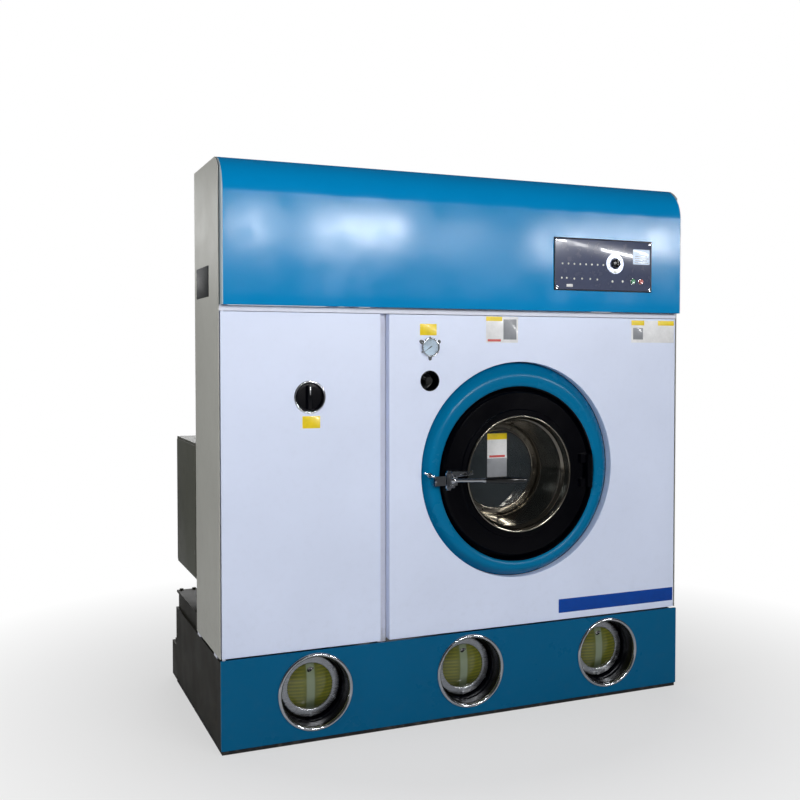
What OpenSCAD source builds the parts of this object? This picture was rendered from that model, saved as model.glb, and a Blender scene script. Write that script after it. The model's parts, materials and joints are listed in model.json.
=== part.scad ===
// Dry cleaning machine: closed-circuit washer and dryer over a solvent tank.
// Every sub-part is drawn from the front left corner of the cabinet: X runs right from the
// left side panel, Y runs back from the plane of the white front panels, Z runs up from the floor.
// in_frame() then moves it, so that the origin is on the floor under the middle of the base.

/* [Cabinet] */
// Width over the two side panels
machine_w = 1713; // [1690:1:1800]
// Height to the top cover
machine_h = 1850; // [1840:1:1920]
// Depth of the side panels
cabinet_d = 365; // [350:1:385]
// Depth of the solvent tank that everything stands on
base_d = 778; // [770:1:840]
// Height of the seam between the blue base and the white panels
seam_h = 298; // [290:1:306]
// Right edge of the service door
side_door_w = 531; // [515:1:545]
// Width of the recessed strip between the service door and the front panel
mullion_w = 32; // [26:1:40]
// Depth of the folded edges of the front panels
panel_return = 34; // [28:1:40]
// Thickness of the sheet metal
sheet_t = 2; // [1.5:0.1:2.5]
// Side of the square tubes of the frame
tube_w = 40; // [34:1:44]
// Wall of the square tubes
tube_t = 3; // [2:0.5:4]

/* [Fascia] */
// Height of the blue fascia, with its curved top
fascia_h = 457; // [440:1:475]
// How far the fascia stands in front of the panels
fascia_proud = 29; // [20:1:40]
// Radius of the curve at the top of the fascia
fascia_curve_r = 121; // [112:1:130]
// Distance from the side panel's face to the end of the fascia
fascia_inset = 9; // [7:1:12]
// Width of the control panel
control_w = 408; // [380:1:430]
// Height of the control panel
control_h = 184; // [170:1:200]
// Right edge of the control panel, from the right side of the cabinet
control_from_right = 138; // [120:1:160]
// Radius of the program selector knob
selector_r = 16; // [12:1:20]
// Radius of the start and stop buttons
button_r = 8.5; // [7:0.5:10]
// Travel of the start and stop buttons
button_travel = 3; // [2:0.5:4]

/* [Base] */
// Height of the plinth frame
plinth_h = 20; // [16:1:26]
// Radius of the porthole bezels
bezel_r = 126; // [118:1:130]
// Distance between two portholes
porthole_pitch = 552; // [520:1:560]
// Height of the porthole centres
porthole_z = 162; // [158:1:166]
// Depth from the base plate to the tank's front wall
porthole_depth = 78; // [70:1:90]
// Radius of the visible sight glass
sight_glass_r = 76; // [70:1:80]
// Thickness of the tank walls
tank_t = 4; // [3:0.5:6]

/* [Loading door] */
// Centre of the door, from the right side of the cabinet
door_from_right = 661; // [650:1:670]
// Height of the door centre
door_z = 826; // [816:1:836]
// Radius of the hole in the front panel
panel_hole_r = 375; // [370:1:380]
// How far the panel's hole is above the door centre
panel_hole_rise = 15; // [10:1:18]
// Radius of the inner lip of the blue surround
surround_lip_r = 304; // [302:1:310]
// Radius of the black door ring
door_r = 296; // [290:1:298]
// Thickness of the door ring
door_t = 26; // [22:1:28]
// Radius of the window's chrome rim
window_r = 205; // [195:1:207]
// Depth of the conical window well
well_depth = 168; // [150:1:175]
// Radius of the visible glass
glass_r = 140; // [130:1:146]
// Number of bolts in the window's clamp ring
clamp_bolts = 14; // [10:1:18]

/* [Door lever] */
// Height of the latch below the door centre
latch_drop = 6; // [0:1:12]
// Length of the chrome shank of the lever
shank_l = 125; // [112:1:135]
// Length of the black grip
grip_l = 134; // [120:1:150]
// Outward lean of the lever, in degrees
lever_lean = 20; // [14:1:24]

/* [Drum] */
// Outer radius of the drum
drum_r = 350; // [335:1:354]
// Depth of the drum
drum_d = 346; // [330:1:350]
// Inner radius of the tub round the drum
tub_r = 372; // [368:1:376]
// Number of lifters in the drum
lifters = 4; // [3:1:5]
// Height of a lifter
lifter_h = 62; // [50:1:70]
// Radius of the drum shaft
shaft_r = 25; // [20:1:30]
// Radius of the drum pulley
drum_pulley_r = 230; // [210:1:240]
// Radius of the motor pulley
motor_pulley_r = 46; // [40:1:55]

/* [Service door] */
// Place of the latch knob, from the left side of the cabinet
latch_x = 291; // [270:1:310]
// Height of the latch knob
latch_z = 1105; // [1080:1:1130]
// Radius of the latch cup's flange
latch_cup_r = 53; // [48:1:56]
// Travel of the latch bolt
bolt_travel = 19.8; // [19:0.1:20]

/* [Gauge and regulator] */
// Place of the gauge and regulator, from the left side of the cabinet
gauge_x = 708; // [700:1:716]
// Height of the pressure gauge
gauge_z = 1265; // [1255:1:1275]
// Radius of the gauge's bezel
gauge_r = 32; // [28:1:34]
// Height of the regulator cup
regulator_z = 1153; // [1145:1:1161]
// Radius of the regulator cup's flange
regulator_r = 35; // [32:1:38]

/* [Machinery] */
// Radius of the still
still_r = 158; // [145:1:162]
// Radius of the solvent filter
filter_r = 92; // [84:1:96]
// Radius of the blower wheel
fan_r = 112; // [100:1:116]
// Number of blades on the blower wheel
fan_blades = 14; // [10:1:18]
// Outer radius of the water and steam pipes
pipe_r = 13.5; // [10:0.5:15]

/* [Hidden] */
$fn = 64;

seat = 0.3;         // gap at which two separate pieces lie on each other
run = 0.05;         // radial clearance of a shaft in its bore
cut = 1;            // how far a cutting tool reaches past what it cuts
panel_gap = 4;      // gap between two neighbouring panels

// Frame and panels
deck_z = seam_h - 12;                       // top of the tank
header_h = 18;                              // white rail under the fascia
fascia_z = machine_h - fascia_h;
header_z = fascia_z - header_h;
panel_top = header_z - panel_gap / 2;
mullion_x = side_door_w + sheet_t;
mullion_y = panel_return - sheet_t;
post_y = 60;                                // front face of the front posts
rear_post_y = cabinet_d - sheet_t - tube_w;
back_post_y = base_d - tube_w;
mid_post_x = mullion_x + 1;
right_post_x = machine_w - sheet_t - tube_w;
back_post_x = 640;
rail_z = machine_h - sheet_t - tube_w;      // top rails, under the top cover
shelf_z = 1250;                             // beams that carry the air circuit
panel_x = side_door_w + mullion_w;
front_panel_right = machine_w - sheet_t - panel_gap;

// Loading door and drum
door_x = machine_w - door_from_right;
door_y = 4;
door_back = door_y + door_t;
tub_y = 60;                                 // front face of the tub's front plate
plate_t = 6;
tub_t = 4;
tub_flange_r = tub_r + 26;
mouth_r = window_r + 17;
drum_y = tub_y + 18;
drum_back = drum_y + drum_d;
tub_back = drum_back + 40;
pulley_y = tub_back + 150;
pulley_w = 50;
belt_t = 5;
belt_w = 40;
hinge_x = door_r - 16;                      // from the door centre
hinge_y = -6;
hinge_barrel_r = 11;
hinge_pin_r = 5;
hinge_half = 28;                            // half height of the fixed knuckle
knuckle_l = 31;
pivot_x = -door_r + 8;                      // latch pivot, from the door centre
pivot_y = -30;
lever_hub_r = 11;
lever_hub_half = 16;
lever_lug_t = 10;
lever_pin_r = 5;
keeper_x = -surround_lip_r - 28;
motor_x = door_x + 425;
motor_z = deck_z + 144;

// Service door
service_x = sheet_t + panel_gap;
service_pin_x = service_x + 7;
service_pin_y = 7;
service_pin_r = 4.5;
crank_r = bolt_travel / 1.41421356;         // a quarter turn, centred on the top
crank_pin_r = 3;
bolt_y = panel_return + 3;
bolt_t = 6;
latch_cup_d = 22;

// Air circuit
lint_x0 = door_x + 128;
lint_x1 = lint_x0 + 420;
lint_y0 = tub_back - 64;
lint_y1 = base_d - 48;
lint_z0 = shelf_z + tube_w;
lint_z1 = lint_z0 + 205;
fan_x = lint_x0 + 215;
fan_z = lint_z1 + 150;
fan_y = lint_y0 + 56;
fan_w = 110;
volute_r = fan_r + 14;
head_x0 = back_post_x + 6;
head_x1 = head_x0 + 470;
head_y0 = post_y + 4;
head_y1 = cabinet_d - 6;
head_z0 = shelf_z + tube_w;
head_z1 = rail_z - 2;

// Machinery
still_x = 468;
still_y = 560;
still_z0 = deck_z + 60;
still_h = 400;
still_door_z = still_z0 + 190;
still_neck_r = 100;
still_neck_y = still_y + still_r + 26;
filter_x = 136;
filter_y = 215;
filter_z0 = deck_z + 110;
filter_h = 700;
trap_x0 = 248;
trap_w = 150;
trap_y0 = 90;
trap_l = 210;
trap_h = 110;
pump_x = 460;
pump_z = deck_z + 92;
pump_r = 50;

module in_frame() translate([-machine_w / 2, -base_d / 2, 0]) children();

// Turns a shape's own Z axis to point back, with its origin at x, y, z.
module facing_back(x, y, z) translate([x, y, z]) rotate([-90, 0, 0]) children();

// Turns a shape's own Z axis to point right, with its origin at x, y, z.
module facing_right(x, y, z) translate([x, y, z]) rotate([0, 90, 0]) children();

module box(low, high) translate(low) cube(high - low);

module ring(outer, inner, depth) {
    difference() {
        cylinder(r = outer, h = depth);
        translate([0, 0, -cut]) cylinder(r = inner, h = depth + 2 * cut);
    }
}

module around(count, radius)
    for (i = [0:count - 1]) rotate(i * 360 / count) translate([radius, 0, 0]) children();

// A hexagon bolt head of the given width across its flats.
module bolt_head(flats, height) cylinder(r = flats / sqrt(3), h = height, $fn = 6);

// A square tube along one axis: 0 is X, 1 is Y and 2 is Z.
module tube(start, length, axis) {
    size = [for (i = [0:2]) i == axis ? length : tube_w];
    bore = [for (i = [0:2]) i == axis ? length + 2 * cut : tube_w - 2 * tube_t];
    offset_in = [for (i = [0:2]) i == axis ? -cut : tube_t];
    translate(start) difference() {
        cube(size);
        translate(offset_in) cube(bore);
    }
}

// A folded tray: a sheet with returns on its four edges, open to the back.
module tray(x0, x1, z0, z1, depth) {
    difference() {
        box([x0, 0, z0], [x1, depth, z1]);
        box([x0 + sheet_t, sheet_t, z0 + sheet_t], [x1 - sheet_t, depth + cut, z1 - sheet_t]);
    }
}

// A pipe along a list of points, with a ball at each bend.
module pipe(points, radius) {
    for (i = [0:len(points) - 2]) {
        run_vector = points[i + 1] - points[i];
        length = norm(run_vector);
        turn = [0, acos(run_vector.z / length), atan2(run_vector.y, run_vector.x)];
        translate(points[i]) rotate(turn) cylinder(r = radius, h = length);
        if (i > 0) translate(points[i]) sphere(r = radius);
    }
}

/* ---- Base ---- */

module plinth_rail(low, high) box([low.x, low.y, 0], [high.x, high.y, plinth_h]);

module plinth_frame() {
    width = 60;
    front = -6;
    inner = front + width;
    rear = base_d - width;
    left = sheet_t + 1;
    right = machine_w - left;
    color("#101010") in_frame() {
        plinth_rail([left, front], [right, inner]);
        plinth_rail([left, rear], [right, base_d]);
        for (x = [left, machine_w / 2 - width / 2, right - width])
            plinth_rail([x, inner], [x + width, rear]);
    }
}

function porthole_x(i) = machine_w / 2 + (i - 1) * porthole_pitch;

base_plate_y = -10;                         // front face of the blue base plate
sump_d = 86;                                // depth of the low box behind the tank
sump_w = 420;
sump_h = 130;
tank_wall_y = base_plate_y + porthole_depth;

// A bolted cover on the deck over one compartment of the tank.
module tank_cover(x, y, w, l, z) {
    translate([x - w / 2, y, z]) cube([w, l, 8]);
    for (i = [0:3], side = [0, 1])
        translate([x - w / 2 + 15 + i * (w - 30) / 3, y + 12 + side * (l - 24), z + 8]) bolt_head(13, 6);
}

module solvent_tank() {
    left = sheet_t;
    right = machine_w - sheet_t;
    bay = (right - left - 4 * tank_t) / 3;
    front = -6;
    manhole_l = 380;
    manhole_h = 57;
    manhole_y = base_d - 12 - manhole_l;
    cover_l = 190;
    cover_y = base_d - 12 - cover_l;
    sump_y = base_d + tank_t;
    color("#191c17") in_frame() {
        difference() {
            union() {
                box([left, front, plinth_h], [right, base_d, deck_z]);
                box([left + 8, manhole_y, deck_z], [left + 168, manhole_y + manhole_l, deck_z + manhole_h]);
                box([left, base_d - cut, plinth_h], [left + sump_w, base_d + 2 * seat, 8 + sump_h]);
                box([left, base_d + seat, 8], [left + sump_w, base_d + sump_d, 8 + sump_h]);
            }
            box([left + tank_t, sump_y, 8 + tank_t],
                [left + sump_w - tank_t, base_d + sump_d - tank_t, 8 + sump_h - tank_t]);
            box([left + tank_t, front - cut, plinth_h + tank_t],
                [right - tank_t, tank_wall_y, deck_z - tank_t]);
            for (i = [0:2]) {
                x = left + tank_t + i * (bay + tank_t);
                box([x, tank_wall_y + tank_t, plinth_h + tank_t],
                    [x + bay, base_d - tank_t, deck_z - tank_t]);
                facing_back(porthole_x(i), tank_wall_y - cut, porthole_z)
                    cylinder(r = sight_glass_r + 2, h = tank_t + 2 * cut);
            }
            box([left + 20, manhole_y + 12, deck_z - tank_t - cut],
                [left + 156, manhole_y + manhole_l - 12, deck_z + manhole_h + cut]);
            for (x = [machine_w / 2, machine_w - 300])
                box([x - 90, cover_y + 20, deck_z - tank_t - cut],
                    [x + 90, cover_y + cover_l - 20, deck_z + cut]);
        }
        tank_cover(left + 88, manhole_y - 6, 172, manhole_l + 12, deck_z + manhole_h);
        for (x = [machine_w / 2, machine_w - 300]) tank_cover(x, cover_y, 220, cover_l, deck_z);
        tank_cover(left + sump_w / 2, base_d + 4, sump_w - 20, sump_d - 10, 8 + sump_h);
    }
}

module base_front_plate() {
    return_d = 9;
    top = seam_h - panel_gap;
    bottom = plinth_h - 7;
    color("#00507c") in_frame() difference() {
        box([0, base_plate_y, bottom], [machine_w, base_plate_y + return_d, top]);
        box([sheet_t, base_plate_y + sheet_t, bottom - cut],
            [machine_w - sheet_t, base_plate_y + return_d + cut, top - sheet_t]);
        for (i = [0:2])
            facing_back(porthole_x(i), base_plate_y - cut, porthole_z)
                cylinder(r = bezel_r - 6, h = return_d + 2 * cut);
    }
}

module porthole_bezels() {
    bead_r = 7;
    neck_l = 18;
    color("#c9ccd0") in_frame() for (i = [0:2])
        facing_back(porthole_x(i), base_plate_y, porthole_z) rotate_extrude() {
            intersection() {
                translate([bezel_r - bead_r, -1]) circle(r = bead_r);
                translate([0, -20]) square([bezel_r + 20, 20]);
            }
            translate([bezel_r - 12, 0]) square([6 - seat, neck_l]);
        }
}

module porthole_cups() {
    outer = bezel_r - 12 - seat;
    flange = 3;
    color("#0b0c0d") in_frame() for (i = [0:2])
        facing_back(porthole_x(i), base_plate_y, porthole_z) {
            translate([0, 0, 1]) ring(outer, outer - 3, porthole_depth - 1);
            translate([0, 0, porthole_depth - flange]) ring(outer + 6, outer - 3, flange);
        }
}

ring_d = 18;                                // depth of a sight glass clamp ring
ring_lip = 5;

module sight_glass_rings() {
    outer = sight_glass_r + 25;
    seat_r = sight_glass_r + 13;
    color("#b8bcc0") in_frame() for (i = [0:2])
        facing_back(porthole_x(i), tank_wall_y - ring_d, porthole_z) {
            ring(outer, sight_glass_r, ring_lip);
            translate([0, 0, ring_lip]) ring(outer, seat_r, ring_d - ring_lip);
            rotate(30) around(6, outer - 7) translate([0, 0, -5]) bolt_head(10, 5);
        }
}

module sight_glasses() {
    rise = 14;
    dome_r = (pow(sight_glass_r - 1, 2) + pow(rise, 2)) / (2 * rise);
    rim_d = ring_d - ring_lip - 2 * seat;
    color("#6c7335") in_frame() for (i = [0:2])
        facing_back(porthole_x(i), tank_wall_y - ring_d + ring_lip + seat, porthole_z)
            rotate_extrude() {
                square([sight_glass_r + 12.5, rim_d]);
                intersection() {
                    translate([0, dome_r - rise]) circle(r = dome_r, $fn = 96);
                    translate([0, -rise]) square([sight_glass_r - 1, rise]);
                }
            }
}

/* ---- Frame and panels ---- */

module mullion() {
    difference() {
        box([mullion_x, mullion_y, deck_z], [panel_x - sheet_t, post_y - seat, header_z]);
        box([mullion_x + sheet_t, mullion_y + sheet_t, deck_z - cut],
            [panel_x - 2 * sheet_t, post_y + cut, header_z + cut]);
        box([mullion_x - cut, mullion_y + sheet_t, latch_z - 12],
            [mullion_x + sheet_t + cut, bolt_y + bolt_t + 3, latch_z + 12]);
    }
}

module header_rail() {
    difference() {
        box([sheet_t, sheet_t, header_z], [machine_w - sheet_t, post_y - seat, fascia_z]);
        box([sheet_t - cut, 2 * sheet_t, header_z + sheet_t],
            [machine_w - sheet_t + cut, post_y + cut, fascia_z - sheet_t]);
    }
}

module service_door_pins() {
    translate([service_pin_x, service_pin_y, header_z - 14]) cylinder(r = service_pin_r, h = 14);
    translate([service_pin_x, service_pin_y, deck_z]) {
        cylinder(r = 5.8, h = seam_h - deck_z - seat);
        cylinder(r = service_pin_r, h = seam_h - deck_z + 14);
    }
}

module cabinet_frame() {
    color("#c4c8cc") in_frame() {
        for (x = [sheet_t, mid_post_x, right_post_x], y = [post_y, rear_post_y])
            tube([x, y, deck_z], rail_z - deck_z, 2);
        for (x = [back_post_x - tube_w, right_post_x])
            tube([x, back_post_y, deck_z], rail_z - deck_z, 2);
        for (y = [post_y, rear_post_y])
            tube([sheet_t, y, rail_z], machine_w - 2 * sheet_t, 0);
        tube([back_post_x - tube_w, back_post_y, rail_z], machine_w - sheet_t - back_post_x + tube_w, 0);
        for (x = [sheet_t, mid_post_x, right_post_x])
            tube([x, post_y + tube_w, rail_z], rear_post_y - post_y - tube_w, 1);
        for (x = [back_post_x - tube_w, right_post_x])
            tube([x, rear_post_y + tube_w, rail_z], back_post_y - rear_post_y - tube_w, 1);
        for (y = [post_y, rear_post_y])
            tube([mid_post_x + tube_w, y, shelf_z], right_post_x - mid_post_x - tube_w, 0);
        tube([back_post_x, back_post_y, shelf_z], right_post_x - back_post_x, 0);
        mullion();
        header_rail();
        service_door_pins();
    }
}

module side_panel() {
    edge = 20;
    along_x(0, sheet_t) intersection() {
        translate([0, seam_h]) square([cabinet_d, machine_h - seam_h]);
        union() {
            fascia_section(0);
            square([fascia_top_y, fascia_arc_z]);
            translate([fascia_top_y, 0]) square([cabinet_d, machine_h]);
        }
    }
    box([0, cabinet_d - sheet_t, seam_h], [edge, cabinet_d, rail_z]);
}

module left_side_panel() color("#a8a8a0") in_frame() side_panel();

module right_side_panel()
    color("#a8a8a0") in_frame() translate([machine_w, 0, 0]) mirror([1, 0, 0]) side_panel();

fascia_top_y = 42;
fascia_run = fascia_curve_r - fascia_proud - fascia_top_y;
fascia_arc_z = machine_h - sqrt(pow(fascia_curve_r, 2) - pow(fascia_run, 2));

// The fascia's section: local X is Y of the cabinet, and local Y is its height.
module fascia_section(inset) {
    front = -fascia_proud + inset;
    translate([front, fascia_z + inset]) square([fascia_top_y - front, fascia_arc_z - fascia_z - inset]);
    intersection() {
        translate([fascia_curve_r - fascia_proud, fascia_arc_z])
            circle(r = fascia_curve_r - inset, $fn = 96);
        translate([front, fascia_arc_z - cut]) square([fascia_top_y - front, fascia_curve_r]);
    }
}

// Carries a section drawn in Y and Z along X, from x0 to x1.
module along_x(x0, x1) translate([x0, 0, 0]) rotate([90, 0, 90]) linear_extrude(x1 - x0) children();

control_x1 = machine_w - control_from_right;
control_z = fascia_z + 73;
control_y = -fascia_proud;
housing_in = 16;
housing_d = 36;
control_t = 4;

module top_fascia() {
    wall = 2.5;
    lip = 12;
    color("#0a7fc4") in_frame() difference() {
        along_x(fascia_inset, machine_w - fascia_inset) difference() {
            fascia_section(0);
            intersection() {
                fascia_section(wall);
                translate([-fascia_proud, 0]) square([fascia_top_y + fascia_proud + cut, machine_h - wall]);
            }
            translate([lip, fascia_z - cut]) square([fascia_top_y, fascia_arc_z - fascia_z]);
        }
        box([control_x1 - control_w + housing_in - 1, control_y - cut, control_z + housing_in - 1],
            [control_x1 - housing_in + 1, 0, control_z + control_h - housing_in + 1]);
    }
}

module fascia_end_caps() {
    t = 3;
    color("#8c98a2") in_frame() for (x = [fascia_inset - t, machine_w - fascia_inset])
        along_x(x, x + t) fascia_section(0);
}

module top_cover() {
    color("#a8a8a0") in_frame() {
        box([sheet_t, fascia_top_y, machine_h - sheet_t], [machine_w - sheet_t, cabinet_d, machine_h]);
        difference() {
            box([sheet_t, cabinet_d - sheet_t, machine_h - 30],
                [machine_w - sheet_t, cabinet_d, machine_h - sheet_t]);
            for (x = [back_post_x - tube_w, right_post_x])
                box([x - cut, cabinet_d - sheet_t - cut, machine_h - 30 - cut],
                    [x + tube_w + cut, cabinet_d + cut, machine_h]);
        }
    }
}

module front_panel() {
    tab = 12;
    hole_z = door_z + panel_hole_rise;
    color("#dfe2ec") in_frame() {
        difference() {
            union() {
                tray(panel_x, front_panel_right, seam_h, panel_top, panel_return);
                facing_back(door_x, 0, hole_z) cylinder(r = panel_hole_r + sheet_t, h = panel_return);
            }
            facing_back(door_x, -cut, hole_z) cylinder(r = panel_hole_r, h = panel_return + 2 * cut);
            facing_back(gauge_x, -cut, gauge_z) cylinder(r = gauge_r - 3.5, h = 2 * cut + sheet_t);
            facing_back(gauge_x, -cut, regulator_z) cylinder(r = regulator_r - 2, h = 2 * cut + sheet_t);
        }
        for (z = [seam_h + 60, panel_top - 60 - 4 * tab]) {
            box([panel_x, panel_return, z], [mid_post_x + tube_w, post_y, z + 4 * tab]);
            box([front_panel_right - tab, panel_return, z], [front_panel_right, post_y, z + 4 * tab]);
        }
    }
}

/* ---- Loading door, fixed parts ---- */

module door_surround() {
    wall = 3;
    outer = panel_hole_r - 1.5;
    rise = panel_return + 2;
    span = outer - surround_lip_r + panel_hole_rise + 4;
    crown_r = (pow(span, 2) + pow(rise, 2)) / (2 * rise);
    inner = surround_lip_r - wall;
    color("#006c9c") in_frame() difference() {
        union() {
            facing_back(door_x, panel_return, door_z + panel_hole_rise) difference() {
                rotate_extrude() difference() {
                    translate([outer - span, 0]) intersection() {
                        translate([0, crown_r - rise]) circle(r = crown_r, $fn = 128);
                        translate([0, -rise]) square([span, rise]);
                    }
                    translate([outer - span - cut, 0]) intersection() {
                        translate([cut, crown_r - rise + wall]) circle(r = crown_r, $fn = 128);
                        translate([0, -rise]) square([span - wall + cut, rise + cut]);
                    }
                }
                translate([0, panel_hole_rise, -rise - cut])
                    cylinder(r = surround_lip_r - 1, h = rise + 2 * cut);
            }
            facing_back(door_x, 0, door_z) ring(surround_lip_r, inner, tub_y);
        }
        facing_back(door_x, -10, door_z) cylinder(r = inner, h = tub_y + 20);
        box([door_x + keeper_x - 14, -10, door_z - latch_drop - 24],
            [door_x + keeper_x + 14, tub_y, door_z - latch_drop + 24]);
    }
}

module tub_front_plate() {
    neck_y = door_back + 13;
    color("#0c0e12") in_frame() {
        facing_back(door_x, tub_y, door_z) ring(tub_flange_r, mouth_r, plate_t);
        facing_back(door_x, neck_y, door_z) {
            ring(mouth_r + 4, mouth_r, tub_y - neck_y);
            ring(mouth_r + 24, mouth_r, 3);
        }
    }
}

// The hinge bracket on the right of the mouth, with its pin, and the keeper on the left.
module door_fixings() {
    arm_half = 11;
    foot_t = 8;
    color("#c2c5c8") in_frame() {
        translate([door_x + hinge_x, 0, door_z]) {
            box([-24, tub_y - foot_t, -38], [8, tub_y, 38]);
            box([-arm_half, hinge_y, -hinge_half], [6, tub_y - foot_t, hinge_half]);
            translate([0, hinge_y, -hinge_half]) cylinder(r = hinge_barrel_r, h = 2 * hinge_half);
            translate([0, hinge_y, -hinge_half - knuckle_l])
                cylinder(r = hinge_pin_r, h = 2 * (hinge_half + knuckle_l));
        }
        translate([door_x + keeper_x, 0, door_z - latch_drop]) {
            box([-9, pivot_y - 8, -16], [9, tub_y, 16]);
            box([9, pivot_y - 8, -16], [pivot_x - keeper_x - lever_hub_r - 3, pivot_y, 16]);
            facing_back(0, pivot_y - 14, 0) bolt_head(14, 6);
            translate([-5, pivot_y + 3, 12]) rotate([0, -66, 0]) {
                cylinder(r = 4, h = 40);
                translate([0, 0, 17]) bolt_head(15, 8);
            }
        }
    }
}

/* ---- Loading door, moving parts ---- */

module hinge_knuckles(bore) {
    for (low = [-hinge_half - knuckle_l, hinge_half + seat]) translate([0, 0, low]) difference() {
        union() {
            cylinder(r = hinge_barrel_r, h = knuckle_l - seat);
            box([-34, 4, 0], [0, door_y - hinge_y + 8, knuckle_l - seat]);
        }
        translate([0, 0, -cut]) cylinder(r = bore, h = knuckle_l + 2 * cut);
    }
}

module door_ring() {
    step_r = window_r + 21;
    color("#0e1014") in_frame() difference() {
        union() {
            facing_back(door_x, door_y, door_z) rotate_extrude() polygon([
                [window_r - 8, 0], [step_r - 3, 0], [step_r, 4], [door_r - 14, 4], [door_r, 16],
                [door_r, door_t], [step_r + 18, door_t], [step_r + 8, door_t - 8],
                [window_r - 8, door_t - 8]]);
            translate([door_x + hinge_x, hinge_y, door_z]) hinge_knuckles(hinge_pin_r + run);
        }
        box([door_x + hinge_x - 17, door_y - 30, door_z - hinge_half - seat],
            [door_x + door_r + cut, door_back + cut, door_z + hinge_half + seat]);
        for (low = [-hinge_half - knuckle_l, hinge_half + seat])
            translate([door_x + hinge_x, hinge_y, door_z + low])
                cylinder(r = hinge_pin_r + run, h = knuckle_l);
    }
}

well_wall = 1.5;
well_flange_t = 3;
well_back = door_y + well_depth;

module window_well() {
    inner = glass_r + 28;
    color("#b9bcbe") in_frame() facing_back(door_x, 0, door_z) rotate_extrude() {
        translate([window_r - 3, door_y - 4]) circle(r = 4);
        polygon([
            [window_r - 5, door_y - 4], [window_r - 8.4, door_y], [window_r - 8.4, door_back],
            [window_r - 22, door_back + 10], [inner + 4, well_back - 22], [inner + 2, well_back],
            [inner + 2, well_back + 8 + well_flange_t], [glass_r + 4, well_back + 8 + well_flange_t],
            [glass_r + 4, well_back + 8], [inner, well_back + 8], [inner, well_back - 23],
            [window_r - 24, door_back + 9], [window_r - 10.4, door_back - 1],
            [window_r - 10.4, door_y], [window_r - 7, door_y - 5]]);
    }
}

module window_clamp_ring() {
    outer = glass_r + 27;
    color("#c6c9cb") in_frame() facing_back(door_x, well_back - 7, door_z) {
        rotate_extrude() polygon([
            [glass_r, 2], [glass_r + 2, 0], [outer - 2, 0], [outer, 2], [outer, 6.5], [glass_r, 6.5]]);
        around(clamp_bolts, glass_r + 14) translate([0, 0, -5]) bolt_head(10, 5);
    }
}

module door_glass() color([0.12, 0.14, 0.15, 0.6]) in_frame()
    facing_back(door_x, well_back - 0.2, door_z) cylinder(r = glass_r + 24, h = 7.9, $fn = 96);

module door_seal() {
    depth = 13 - seat;
    color("#1c1c1e") in_frame() facing_back(door_x, door_back, door_z) rotate_extrude() {
        translate([mouth_r + 8, 0]) square([14, depth - 4]);
        translate([mouth_r + 15, depth - 6]) circle(r = 6);
    }
}

module latch_bracket() {
    foot_y = door_y + 4 - seat;
    lug_z = lever_hub_half + seat;
    color("#b9bcc0") in_frame() translate([door_x + pivot_x, 0, door_z - latch_drop]) {
        for (low = [-lug_z - lever_lug_t, lug_z]) difference() {
            union() {
                translate([0, pivot_y, low]) cylinder(r = lever_hub_r + 1, h = lever_lug_t);
                box([-3, pivot_y, low], [24, foot_y, low + lever_lug_t]);
            }
            translate([0, pivot_y, low - cut])
                cylinder(r = lever_pin_r + run, h = lever_lug_t + 2 * cut);
        }
        box([12, door_y - 3, -lug_z], [24, foot_y, lug_z]);
        box([24, door_y - 1, -24], [49, foot_y, 24]);
        for (z = [-14, 14]) facing_back(37, door_y - 6, z) bolt_head(13, 5);
        latch_arm(lug_z, foot_y);
    }
}

// The arm that runs from the upper lug over the door ring, tapering in plan and in height.
module latch_arm(lug_z, foot_y) {
    intersection() {
        translate([0, 0, 9]) linear_extrude(22)
            polygon([[12, pivot_y - 5], [100, -13], [100, -7], [60, -7], [54, foot_y], [12, foot_y]]);
        translate([0, 60, 0]) rotate([90, 0, 0]) linear_extrude(120)
            polygon([[12, lug_z], [26, lug_z], [26, 10], [100, 13], [100, 24], [12, 30]]);
    }
}

// The lever turns about an upright pivot; its tongue bears on the back of the keeper.
module door_lever() {
    tongue_r = 25;
    pin_half = lever_hub_half + seat + lever_lug_t + 6;
    color("#c9ccd0") in_frame() translate([door_x + pivot_x, pivot_y, door_z - latch_drop]) {
        translate([0, 0, -lever_hub_half]) cylinder(r = lever_hub_r, h = 2 * lever_hub_half);
        translate([0, 0, -pin_half]) cylinder(r = lever_pin_r, h = 2 * pin_half);
        for (low = [-pin_half, pin_half - 6 + seat]) translate([0, 0, low]) cylinder(r = 7.5, h = 6 - seat);
        intersection() {
            box([-tongue_r, seat, -12], [0, 10, 12]);
            translate([0, 0, -12]) cylinder(r = tongue_r, h = 24);
        }
        rotate(-lever_lean) rotate([0, 90, 0]) cylinder(r = 6.5, h = shank_l + 20);
    }
}

module lever_grip() {
    color("#0d0d0f") in_frame() translate([door_x + pivot_x, pivot_y, door_z - latch_drop])
        rotate(-lever_lean) rotate([0, 90, 0]) difference() {
            rotate_extrude() polygon([
                for (i = [0:24]) let (t = i / 24)
                    [8 + 4 * sin(180 * t), shank_l + grip_l * t],
                [0, shank_l + grip_l], [0, shank_l]]);
            translate([0, 0, shank_l - cut]) cylinder(r = 6.5 + run, h = 20 + cut + seat);
        }
}

/* ---- Tub, drum and drive ---- */

module air_neck(x0, x1, y0, y1) box([x0, y0, door_z + tub_r * 0.7], [x1, y1, shelf_z - 10]);

inlet_x0 = door_x - 200;
inlet_x1 = door_x - 80;
inlet_y0 = rear_post_y - 100;
inlet_y1 = rear_post_y - 20;
outlet_x0 = lint_x0 + 10;
outlet_x1 = lint_x0 + 130;
outlet_y0 = lint_y0;
outlet_y1 = lint_y0 + 56;
feed_x = door_x - 250;                      // solvent feed, from the filter to the tub
feed_top = door_z + 312;

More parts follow.
